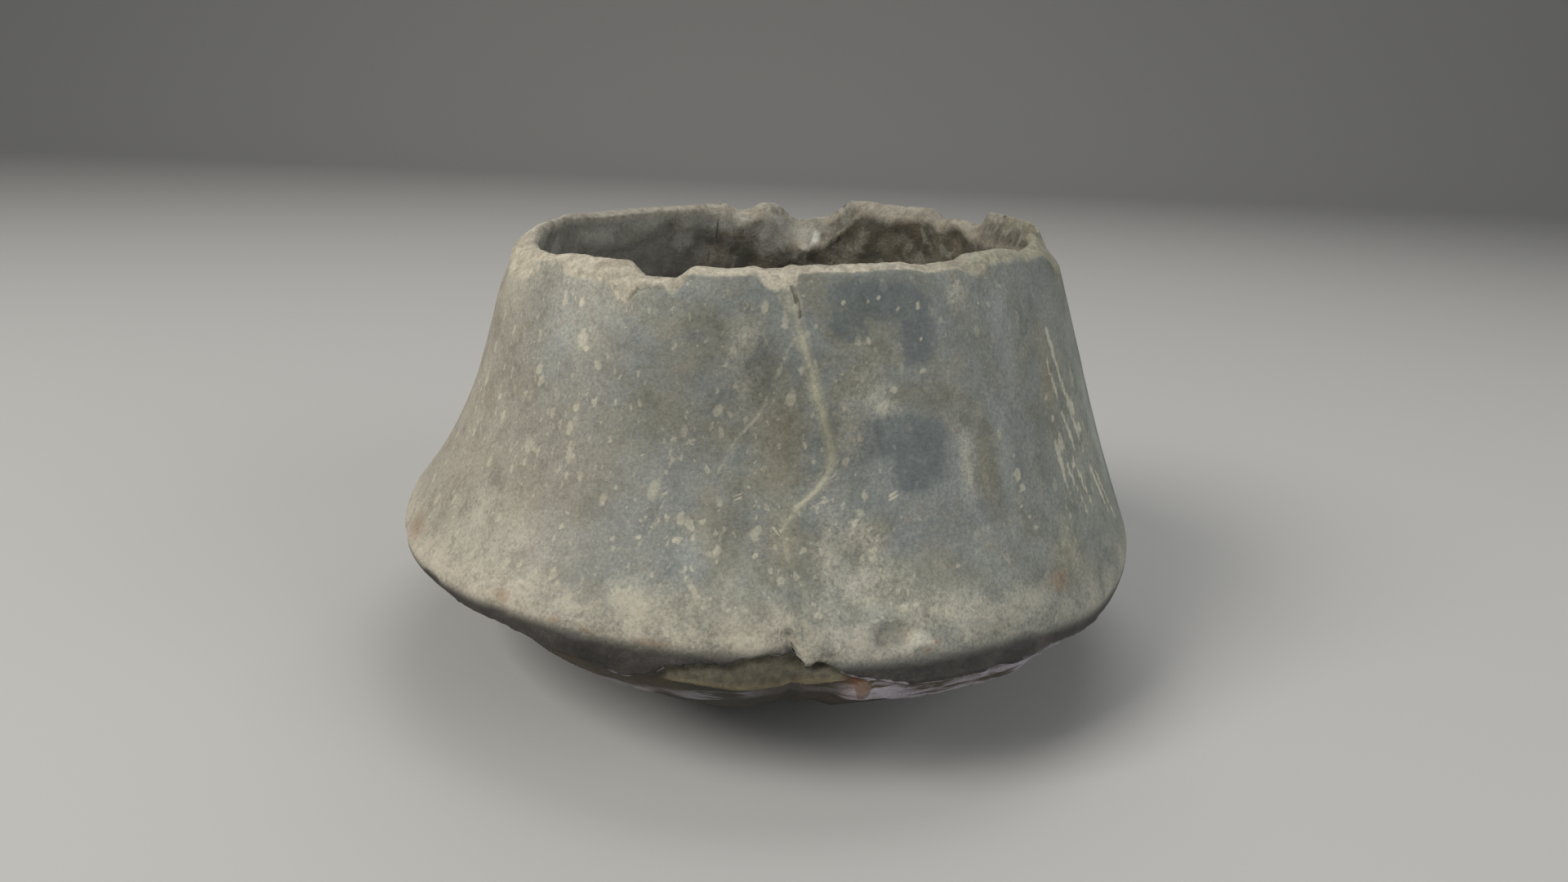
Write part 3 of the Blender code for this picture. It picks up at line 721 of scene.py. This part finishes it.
def whole_masks(azimuth, outer, lip, rows, points, outer_masks):
    """The outer face's masks carried on over the lip and inside, and the masks of those parts."""
    edge, start = len(outer), len(outer) + len(lip)
    height, radius = rows[edge:, :, 1], rows[edge:, :, 0]
    masks = {}
    for name, values in outer_masks.items():
        masks[name] = np.full(rows.shape[:2], BEYOND_OUTER.get(name, 0.0))
        masks[name][:edge] = values
    crack = distance_to_path(azimuth, height, radius, INNER_CRACK)
    masks["split"][edge:] = crack + 0.3 * fractal(points[edge:], 3.0, 2, 17.0) + 0.12
    inward = ease((np.linspace(0.0, 1.0, len(lip))[:, None] - 0.45) / 0.2)
    masks["inside"] = np.zeros(rows.shape[:2])
    masks["inside"][edge:start] = inward
    masks["inside"][start:] = 1.0
    at = (azimuth + column_shift(azimuth, height), height, radius)
    for name, places in (("plaster", PLASTER_SPOTS), ("wash", WASH_SPOTS)):
        masks[name] = np.zeros(rows.shape[:2])
        masks[name][edge:] = strongest(spot, at, places)
    beyond = np.zeros(rows.shape[:2])
    beyond[:edge] = np.maximum(outer[0, :, 1] - rows[:edge, :, 1], 0.0)
    beyond[start:] = 0.5 * np.maximum(rows[start, :, 1] - rows[start:, :, 1], 0.0)
    masks["rim"] = ease(1.0 - beyond / 9.0)
    masks["fresh"] = ease(1.0 - beyond / 1.5)
    masks["fresh"][:edge] *= ease((rim_line(azimuth) - outer[0, :, 1] - 1.7) / 1.3)
    crest = rim_line(rim_azimuth(azimuth))
    masks["fresh"][edge:start] -= 0.7 * inward * ease((crest - lip[..., 1] - 1.0) / 2.0)
    return masks


def surface_fields(azimuth):
    """The whole grid of points, from the foot up, over the lip and down to the floor, with its masks."""
    outer = outer_rows(azimuth)
    inner = inner_rows(azimuth)
    lip = lip_rows(azimuth, outer[0], inner[0])
    rows = np.concatenate([outer[::-1], lip, inner])
    points = in_space(azimuth, rows)
    edge, start = len(outer), len(outer) + len(lip)
    relief = np.zeros(rows.shape[:2])
    relief[:edge], outer_masks = outer_fields(azimuth, rows[:edge], points[:edge])
    relief[0] = 0.0
    top = slice(edge - 2, start + 2)
    broken = 0.35 * fractal(points[top], 3.2, 3, 15.0) + 0.3 * np.abs(fractal(points[top], 6.0, 2, 16.0))
    bevel = 1.0 + 0.8 * ease((rim_line(azimuth) - inner[0, :, 1] - 2.0) / 3.0)
    relief[top] -= np.abs(broken) * bevel
    relief[start:] += inner_relief(azimuth, rows[start:], points[start:])
    points = points + grid_normals(points) * relief[..., None]
    return points, whole_masks(azimuth, outer, lip, rows, points, outer_masks)


def ring_faces(low, high):
    """Faces between two rings, the outer normal to the left of the columns' order."""
    flip = len(low) < len(high)
    long, short = (high, low) if flip else (low, high)
    count = len(long)
    if len(short) == count:
        pairs = [(i, (i + 1) % count) for i in range(count)]
        return [(low[i], low[j], high[j], high[i]) for i, j in pairs]
    faces = []
    for i in range(0, count, 2):
        middle, end = long[i + 1], long[(i + 2) % count]
        c, d = short[i // 2], short[(i // 2 + 1) % len(short)]
        made = [(long[i], middle, c), (middle, d, c), (middle, end, d)]
        faces += [tuple(reversed(face)) for face in made] if flip else made
    return faces


def placed(name, data):
    """A new object of the scene."""
    made = bpy.data.objects.new(name, data)
    bpy.context.scene.collection.objects.link(made)
    return made


def build_vase():
    """The fine mesh of the vase with its point attributes, as one object."""
    grid, masks = surface_fields(column_azimuths())
    lowest, highest = 1000.0 * np.array(cad_box[0]) + BOX_GAP, 1000.0 * np.array(cad_box[1]) - BOX_GAP
    grid = np.clip(grid, np.append(lowest[:2], 0.0), highest)
    shrink = np.linspace(0.85, 0.18, FOOT_ROWS)[:, None, None]
    foot = grid[0][None] * shrink
    foot[..., 2] = 0.0
    layers = list(foot[::-1]) + list(grid)
    points, rings, picked = [], [], {name: [] for name in masks}
    for row, layer in enumerate(layers):
        radius = float(np.median(np.hypot(layer[:, 0], layer[:, 1])))
        step = 2 ** sum(radius <= limit for limit in THINNING_RADII)
        chosen = layer[::step]
        rings.append(list(range(len(points), len(points) + len(chosen))))
        points += [tuple(point) for point in chosen]
        for name, values in masks.items():
            picked[name] += list(values[max(row - FOOT_ROWS, 0)][::step])
    faces = []
    for low, high in zip(rings, rings[1:]):
        faces += ring_faces(low, high)
    for ring, outward, height in ((rings[0], False, 0.0), (rings[-1], True, layers[-1][:, 2].mean())):
        centre = len(points)
        points.append((0.0, 0.0, height))
        for values in picked.values():
            values.append(values[ring[0]])
        fan = [(ring[i], ring[(i + 1) % len(ring)], centre) for i in range(len(ring))]
        faces += fan if outward else [tuple(reversed(face)) for face in fan]
    mesh = bpy.data.meshes.new("vase_surface")
    mesh.from_pydata([(x * MM, y * MM, z * MM) for x, y, z in points], [], faces)
    mesh.update()
    for name, values in picked.items():
        attribute = mesh.attributes.new(name, "FLOAT", "POINT")
        attribute.data.foreach_set("value", np.array(values, dtype=np.float32))
    mesh.shade_smooth()
    return placed("vase_surface", mesh)


def linear(red, green, blue):
    """A shader colour from screen values of 0 to 255."""
    screen = np.array([red, green, blue]) / 255.0
    low = screen / 12.92
    high = ((screen + 0.055) / 1.055) ** 2.4
    return tuple(float(c) for c in np.where(screen <= 0.04045, low, high)) + (1.0,)


class Shader:
    """Short names for the nodes of one material."""

    def __init__(self, name):
        self.material = bpy.data.materials.new(name)
        self.material.use_nodes = True
        self.tree = self.material.node_tree
        self.out = self.tree.nodes["Principled BSDF"]
        self.coords = self.add("TexCoord").outputs["Object"]

    def add(self, kind, inputs=None, **settings):
        """A new node of a kind, with its settings and its inputs."""
        node = self.tree.nodes.new("ShaderNode" + kind)
        for name, value in settings.items():
            setattr(node, name, value)
        self.fill(node, inputs or {})
        return node

    def fill(self, node, inputs):
        """Links each input, given by its name or number, to another node's output, or sets its value."""
        for key, value in inputs.items():
            if isinstance(value, bpy.types.NodeSocket):
                self.tree.links.new(value, node.inputs[key])
            else:
                node.inputs[key].default_value = value

    def math(self, operation, first, second=0.0, third=0.0):
        return self.add("Math", {0: first, 1: second, 2: third}, operation=operation).outputs[0]

    def times(self, first, *others):
        """The product of all the values."""
        for other in others:
            first = self.math("MULTIPLY", first, other)
        return first

    def largest(self, first, *others):
        for other in others:
            first = self.math("MAXIMUM", first, other)
        return first

    def scaled(self, value, factor, base):
        """The base plus a value times a factor."""
        return self.math("MULTIPLY_ADD", value, factor, base)

    def centred(self, value):
        """Noise of 0 to 1 made to lie about 0."""
        return self.math("SUBTRACT", value, 0.5)

    def stirred(self, base, **amounts):
        """The base plus the shader's noises of these names, centred, each times its amount."""
        for name, amount in amounts.items():
            base = self.scaled(self.centred(getattr(self, name)), amount, base)
        return base

    def between(self, value, low, high, soft=True):
        """0 at low, 1 at high; low may be above high."""
        inputs = {"Value": value, "From Min": low, "From Max": high}
        kind = "SMOOTHSTEP" if soft else "LINEAR"
        return self.add("MapRange", inputs, interpolation_type=kind).outputs["Result"]

    def mix(self, share, first, second):
        return self.add("Mix", {0: share, 6: first, 7: second}, data_type="RGBA").outputs[2]

    def tint(self, base, share, amount, colour):
        """The base mixed towards a colour by a share times an amount."""
        return self.mix(self.times(share, amount), base, linear(*colour))

    def graded(self, value, low, high, first, second):
        """One colour where the value is low, and another where it is high."""
        return self.mix(self.between(value, low, high), linear(*first), linear(*second))

    def stretched(self, x, y, z, turn_degrees):
        """The object's coordinates, scaled along each axis and turned about the Y axis."""
        rotation = (0.0, float(np.radians(turn_degrees)), 0.0)
        inputs = {"Vector": self.coords, "Scale": (x, y, z), "Rotation": rotation}
        return self.add("Mapping", inputs).outputs["Vector"]

    def noise(self, scale, detail, roughness, distortion=0.0, vector=None):
        inputs = {"Vector": vector or self.coords, "Scale": scale, "Detail": detail}
        inputs |= {"Roughness": roughness, "Distortion": distortion}
        return self.add("TexNoise", inputs).outputs["Fac"]

    def warped(self, scale, amount, vector):
        """Coordinates pushed about by noise, so that what is drawn with them has ragged edges."""
        push = self.add("TexNoise", {"Vector": self.coords, "Scale": scale, "Detail": 2.0})
        inputs = {0: push.outputs["Color"], 1: (amount, amount, amount), 2: vector}
        return self.add("VectorMath", inputs, operation="MULTIPLY_ADD").outputs["Vector"]

    def cells(self, scale, vector):
        """(distance, random value) of a cell pattern."""
        node = self.add("TexVoronoi", {"Vector": vector, "Scale": scale})
        random = self.add("SeparateColor", {"Color": node.outputs["Color"]})
        return node.outputs["Distance"], random.outputs["Red"]

    def mask(self, name):
        """A mask that the mesh carries at its points."""
        return self.add("Attribute", attribute_name=name).outputs["Fac"]


class ClayShader(Shader):
    """A shader with the noises and places that the parts of the clay share."""

    def __init__(self, name):
        super().__init__(name)
        axes = self.add("SeparateXYZ", {"Vector": self.coords})
        self.x, self.y, self.z = (axes.outputs[axis] for axis in "XYZ")
        self.grain = self.noise(1500.0, 2.0, 0.7)
        self.fine = self.noise(560.0, 4.0, 0.7)
        self.mottle = self.noise(150.0, 4.0, 0.62, 0.3)
        self.blot = self.noise(62.0, 4.0, 0.6, 0.5)
        self.cloud = self.noise(26.0, 3.0, 0.5, 0.2)
        self.drift = self.noise(34.0, 3.0, 0.6, 0.3, self.stretched(2.4, 2.4, 0.5, 8.0))
        self.speckle = self.scaled(self.grain, 0.6, self.times(self.fine, 0.4))
        self.drop = self.mask("drop")
        self.turned = self.stirred(self.drop, mottle=1.4, fine=0.9)
        dark = self.stirred(self.mask("dark"), mottle=1.0, blot=0.7, fine=1.3)
        self.dark = self.between(dark, 0.06, 0.5)
        self.leftness = self.stirred(self.between(self.x, 0.0, -0.08, False), cloud=0.8)


def skin(sh):
    """The burnished skin: olive and blue greys, warmer at the left, greener to the right, with a bluish
    highlight painted in places.
    """
    colour = sh.graded(sh.blot, 0.38, 0.62, SKIN_OLIVE, SKIN_BLUE)
    colour = sh.tint(colour, sh.between(sh.leftness, 0.05, 0.95), 0.9, SKIN_WARM)
    rightness = sh.stirred(sh.between(sh.x, 0.02, 0.08, False), cloud=0.7)
    colour = sh.tint(colour, sh.between(rightness, 0.1, 0.9), 0.7, SKIN_GREEN)
    # Painted highlight: soft bluish bands laid into the colour
    painted_sheen = sh.stirred(sh.mask("painted_sheen"), drift=1.6)
    colour = sh.tint(colour, sh.between(painted_sheen, 0.1, 0.9), 0.6, PAINTED_SHEEN)
    ochre = sh.stirred(sh.mask("ochre"), blot=1.0, mottle=0.8)
    colour = sh.tint(colour, sh.between(ochre, 0.1, 0.9), 0.38, OCHRE)
    return sh.tint(colour, sh.dark, 0.8, UNWORN)


def lime_film(sh, colour):
    """A film of lime dust in fine grains, thicker in some places and absent from the dark ones."""
    film = sh.stirred(sh.times(sh.mask("crust"), 1.5), blot=1.6, mottle=1.9)
    film = sh.scaled(sh.leftness, sh.scaled(sh.mask("rim"), 1.4, 0.35), film)
    film = sh.scaled(sh.between(sh.drop, -16.0, -1.0), 0.5, film)
    film = sh.scaled(sh.dark, -0.7, film)
    grains = sh.between(sh.scaled(film, 0.15, sh.speckle), 0.38, 0.76)
    grains = sh.scaled(grains, 0.75, 0.2)
    colour = sh.tint(colour, grains, sh.between(film, -0.6, 2.2, False), DUST)
    threads = sh.noise(430.0, 3.0, 0.6, 0.6, sh.stretched(1.0, 1.0, 0.7, 20.0))
    threads = sh.between(sh.math("ABSOLUTE", sh.centred(threads)), 0.035, 0.01)
    colour = sh.tint(colour, sh.times(threads, sh.between(film, 0.35, 1.3)), 0.55, DUST)
    return colour, grains


def flakes(sh, scale, amount, size, vector):
    """Small pale flakes: up to 1 on a flake. The amount is the share of cells that hold one."""
    distance, random = sh.cells(scale, vector)
    chosen = sh.between(random, 1.0 - amount, 1.0, False)
    reach = sh.scaled(chosen, size * 0.7, size * 0.3)
    near = sh.between(sh.math("DIVIDE", distance, reach), 1.0, 0.55)
    return sh.times(near, sh.between(random, 1.0 - amount, 1.02 - amount))


def lime_flakes(sh, colour):
    """Flakes of lime of several sizes, more at the left, and the marks with places of their own."""
    ragged = sh.warped(480.0, 0.0018, sh.stretched(1.0, 1.0, 0.6, 10.0))
    flecks = [sh.times(flakes(sh, *flake, ragged), strength) for *flake, strength in LIME_FLAKES]
    where = sh.stirred(sh.between(sh.x, 0.085, -0.03, False), cloud=1.6)
    where = sh.times(sh.between(where, 0.05, 0.7), sh.scaled(sh.dark, -0.7, 1.0))
    marks = sh.between(sh.stirred(sh.mask("marks"), fine=0.8, mottle=0.6), 0.16, 0.44)
    flecks = sh.largest(sh.times(sh.largest(*flecks), where), sh.times(marks, 0.95))
    return sh.tint(colour, flecks, 0.72, FLAKE), flecks


def worn_edge(sh, colour):
    """The worn carination, with rusty stains."""
    near = sh.between(sh.stirred(sh.drop, mottle=7.0), -8.0, -1.0)
    near = sh.times(near, sh.between(sh.turned, 1.5, -0.3))
    worn = sh.scaled(sh.between(sh.stirred(sh.speckle, mottle=0.8), 0.22, 0.6), 0.7, 0.3)
    worn = sh.times(worn, sh.scaled(sh.between(sh.x, 0.01, 0.035), -0.6, 1.0))
    colour = sh.tint(colour, sh.times(near, worn), 0.8, WORN)
    rust = sh.stirred(sh.mask("rust"), mottle=1.6, fine=0.8)
    return sh.tint(colour, sh.between(rust, 0.1, 0.9), 0.62, RUST)


def joint_and_hairlines(sh, colour):
    """The glued joint with its fill and the pale line in it, and the hairlines."""
    joint = sh.stirred(sh.mask("joint"), fine=0.9, mottle=0.9)
    left_edge = sh.scaled(sh.between(sh.z, 0.086, 0.097), -3.0, -1.5)
    fill = sh.times(
        sh.between(joint, left_edge, sh.math("ADD", left_edge, 0.9)),
        sh.between(joint, 2.4, 1.2),
        sh.between(sh.z, 0.05, 0.072),
        sh.scaled(sh.between(sh.mottle, 0.4, 0.56), 0.5, 0.5),
    )
    colour = sh.tint(colour, fill, 0.8, FILL)
    line = sh.times(
        sh.between(sh.math("ABSOLUTE", sh.math("SUBTRACT", joint, 0.4)), 0.85, 0.25),
        sh.between(sh.z, 0.096, 0.088),
        sh.scaled(sh.between(sh.mottle, 0.42, 0.55), 0.6, 0.4),
        sh.scaled(sh.between(sh.z, 0.054, 0.058), 0.7, 0.3),
    )
    colour = sh.tint(colour, line, 0.75, FILL_RIDGE)
    hairline = sh.times(sh.between(sh.mask("hair"), 0.5, 0.1), sh.between(sh.mottle, 0.38, 0.55))
    return sh.tint(colour, hairline, 0.55, FLAKE)


def lower_body(sh, colour):
    """A band below the carination painted dark as the shade under the bowl, the brown clay where it has
    spalled, the tan scar with a painted highlight on its ridge, and the layers' edges with painted rim
    light.
    """
    first = sh.stirred(sh.mask("first"), fine=0.5, mottle=0.6)
    second = sh.stirred(sh.mask("second"), fine=0.6, mottle=1.2)
    band = sh.graded(sh.mottle, 0.35, 0.65, SHADED_BAND_DARK, SHADED_BAND_PALE)
    # Below the carination's turn the colour becomes the band's painted shade
    colour = sh.mix(sh.between(sh.turned, -1.0, 2.2), colour, band)
    spalled = sh.graded(sh.blot, 0.4, 0.62, SPALL_GREEN, SPALL_BROWN)
    spalled = sh.tint(spalled, sh.between(sh.noise(90.0, 3.0, 0.6), 0.58, 0.7), 0.8, RUST_DARK)
    # Below the second layer's edge the spalled clay is darkened towards the band's painted shade colour
    spalled = sh.tint(spalled, sh.between(second, 0.0, 0.4), 0.4, SHADED_BAND_DARK)
    across = sh.mask("across_scar")
    tan = sh.graded(sh.fine, 0.35, 0.65, TAN, TAN_LIGHT)
    # Painted highlight on the scar's up-facing lower ridge
    tan = sh.tint(tan, sh.between(across, 0.7, 1.0), 0.8, TAN_RIDGE_HIGHLIGHT)
    in_scar = sh.times(sh.mask("scar"), sh.between(across, 1.14, 1.02))
    spalled = sh.mix(in_scar, spalled, tan)
    colour = sh.mix(sh.between(first, -0.1, 0.1), colour, spalled)
    return rim_lit_layer_edges(sh, colour, first, second)


def rim_lit_layer_edges(sh, colour, first, second):
    """Pale lilac rim light painted on the broken edges of the layers that flaked off the lower body, and
    the small brown nub.
    """
    streaks = sh.noise(230.0, 3.0, 0.6, 0.2, sh.stretched(0.35, 0.35, 3.0, 30.0))
    ledge = sh.times(sh.between(sh.math("ABSOLUTE", first), 0.34, 0.12), sh.mask("ledge_one"))
    shelf = sh.times(sh.between(second, -3.5, -2.25), sh.between(second, 0.3, 0.1), sh.mask("ledge_two"))
    ledge = sh.times(sh.largest(ledge, shelf), sh.between(streaks, 0.36, 0.52))
    layer = sh.math("ABSOLUTE", sh.math("SUBTRACT", sh.math("PINGPONG", second, 1.3), 0.5))
    layer = sh.times(
        sh.between(layer, 0.1, 0.03),
        sh.between(streaks, 0.52, 0.62),
        sh.between(first, 0.2, 0.5),
        sh.scaled(sh.between(sh.x, 0.036, 0.05), 0.8, 0.2),
    )
    # Painted rim light: pale lilac on the ledges and the layers' edges
    colour = sh.tint(colour, sh.largest(ledge, layer), 0.8, LILAC_RIM_LIGHT)
    nub = sh.stirred(sh.mask("nub"), fine=0.5)
    return sh.tint(colour, sh.between(nub, 0.2, 0.45), 0.85, NUB_BROWN)


def inner_face(sh, colour):
    """The inner face, darker, with pale washes near the rim and a plaster patch at the back."""
    inner = sh.graded(sh.mottle, 0.35, 0.65, INNER_DARK, INNER_BROWN)
    inner = sh.tint(inner, sh.between(sh.blot, 0.6, 0.45), 0.25, SKIN_OLIVE)
    inner = sh.tint(inner, sh.between(sh.noise(210.0, 4.0, 0.65, 0.6), 0.5, 0.62), 0.65, INNER_LIGHT)
    inner = sh.tint(inner, sh.between(sh.x, 0.0, -0.05), 0.8, INNER_LIGHT)
    inner = sh.tint(inner, sh.between(sh.noise(85.0, 3.0, 0.6, 0.8), 0.52, 0.66), 0.4, BREAK_GREY)
    wash = sh.stirred(sh.mask("wash"), mottle=1.2, blot=0.8)
    inner = sh.tint(inner, sh.between(wash, 0.1, 0.7), 0.7, INNER_GREY)
    plaster = sh.stirred(sh.mask("plaster"), fine=0.5)
    inner = sh.tint(inner, sh.between(plaster, 0.2, 0.6), 0.9, PLASTER)
    return sh.mix(sh.mask("inside"), colour, inner)


def broken_rim(sh, colour):
    """The clay laid bare where the rim broke, and the dark of the open cracks."""
    fresh = sh.stirred(sh.mask("fresh"), mottle=1.2, fine=0.6)
    tanned = sh.stirred(sh.between(sh.x, 0.018, 0.045, False), blot=0.8)
    clay = sh.graded(tanned, 0.0, 1.0, BREAK_PALE, BREAK_TAN)
    clay = sh.tint(clay, sh.between(sh.y, -0.01, 0.03), 0.8, BREAK_GREY)
    clay = sh.tint(clay, sh.between(sh.fine, 0.56, 0.4), 0.3, INNER_BROWN)
    clay = sh.tint(clay, sh.between(sh.mottle, 0.5, 0.64), 0.5, INNER_BROWN)
    colour = sh.mix(sh.times(sh.between(fresh, 0.1, 1.1), 0.8), colour, clay)
    return sh.tint(colour, sh.between(sh.mask("split"), 0.6, 0.25), 0.75, CRACK)


def clay_material():
    """Burnished clay, weathered, stained and encrusted, with its breaks, and with light and shade
    painted into its colour in places.
    """
    sh = ClayShader("weathered_burnished_clay")
    colour, grains = lime_film(sh, skin(sh))
    colour, flecks = lime_flakes(sh, colour)
    for layer in (worn_edge, joint_and_hairlines, lower_body, inner_face, broken_rim):
        colour = layer(sh, colour)
    # Small random changes of brightness all over, times the mask of broad painted light and shade
    shade = sh.stirred(1.0, fine=0.65, grain=0.7, mottle=0.65, blot=0.7)
    shade = sh.times(shade, sh.math("ADD", sh.mask("painted_light_tone"), 1.0))
    shaded = sh.add("VectorMath", {0: colour, "Scale": shade}, operation="SCALE")
    rough = sh.scaled(grains, 0.14, sh.scaled(sh.mottle, 0.2, 0.5))
    height = sh.scaled(sh.fine, 0.6, sh.times(sh.grain, 0.35))
    height = sh.scaled(sh.mottle, 0.8, sh.scaled(flecks, 0.3, height))
    bump = sh.add("Bump", {"Strength": 0.6, "Distance": 0.0005, "Height": height})
    sh.fill(sh.out, {
        "Base Color": shaded.outputs[0],
        "Roughness": sh.scaled(flecks, 0.1, rough),
        "Specular IOR Level": 0.35,
        "Normal": bump.outputs["Normal"],
    })
    return sh.material


def floor_material():
    """A plain pale matt floor."""
    sh = Shader("pale_floor")
    sh.fill(sh.out, {"Base Color": linear(*FLOOR), "Roughness": 0.9})
    return sh.material


def make_floor():
    """A wide floor that curves up behind, far enough to show no edge."""
    width, front, back, height, bend = 6.0, -3.0, 1.6, 3.0, 0.8
    profile = [(front, 0.0)]
    for step in range(13):
        angle = np.radians(90.0 * step / 12)
        profile.append((back + bend * np.sin(angle), bend * (1.0 - np.cos(angle))))
    profile.append((back + bend, height))
    points = [(side * width, y, z) for y, z in profile for side in (-0.5, 0.5)]
    faces = [(2 * i, 2 * i + 1, 2 * i + 3, 2 * i + 2) for i in range(len(profile) - 1)]
    mesh = bpy.data.meshes.new("studio_floor")
    mesh.from_pydata(points, [], faces)
    mesh.shade_smooth()
    mesh.materials.append(floor_material())
    floor = placed("studio_floor", mesh)


def soft_light(name, place, size, power, colour):
    """A square area light aimed at the middle of the vase."""
    data = bpy.data.lights.new(name, "AREA")
    data.size = size
    data.energy = power
    data.color = colour
    light = placed(name, data)
    aim = Vector(LIGHT_TARGET) - Vector(place)
    light.location = place
    light.rotation_euler = aim.to_track_quat("-Z", "Y").to_euler()


def make_world():
    """An even, dim, neutral surround."""
    world = bpy.data.worlds.new("studio")
    world.use_nodes = True
    background = world.node_tree.nodes["Background"]
    background.inputs["Color"].default_value = (0.96, 0.98, 1.0, 1.0)
    background.inputs["Strength"].default_value = WORLD_STRENGTH
    bpy.context.scene.world = world


def make_camera():
    """The camera at the photograph's viewing angle, close in, slightly rolled."""
    data = bpy.data.cameras.new("camera")
    data.sensor_width = SENSOR_WIDTH
    data.lens = CAMERA_FOCAL * SENSOR_WIDTH / PHOTO_WIDTH
    data.clip_start = 0.01
    data.clip_end = 50.0
    camera = placed("camera", data)
    pitch = np.radians(CAMERA_ELEVATION)
    back = Vector((0.0, -float(np.cos(pitch)), float(np.sin(pitch))))
    camera.location = (Vector(CAMERA_TARGET) + back * CAMERA_DISTANCE) * MM
    look = back.to_track_quat("Z", "Y").to_matrix()
    roll = Matrix.Rotation(float(np.radians(CAMERA_ROLL)), 3, "Z")
    camera.rotation_euler = (look @ roll).to_euler()
    bpy.context.scene.camera = camera


def make_vase():
    """The visible vase, in place of the frame's plain one."""
    vase = build_vase()
    vase.data.materials.append(clay_material())
    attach(vase, "root")
    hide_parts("vase")


make_world()
make_floor()
for light in LIGHTS:
    soft_light(*light)
make_camera()
make_vase()
bpy.context.scene.view_settings.view_transform = "Standard"
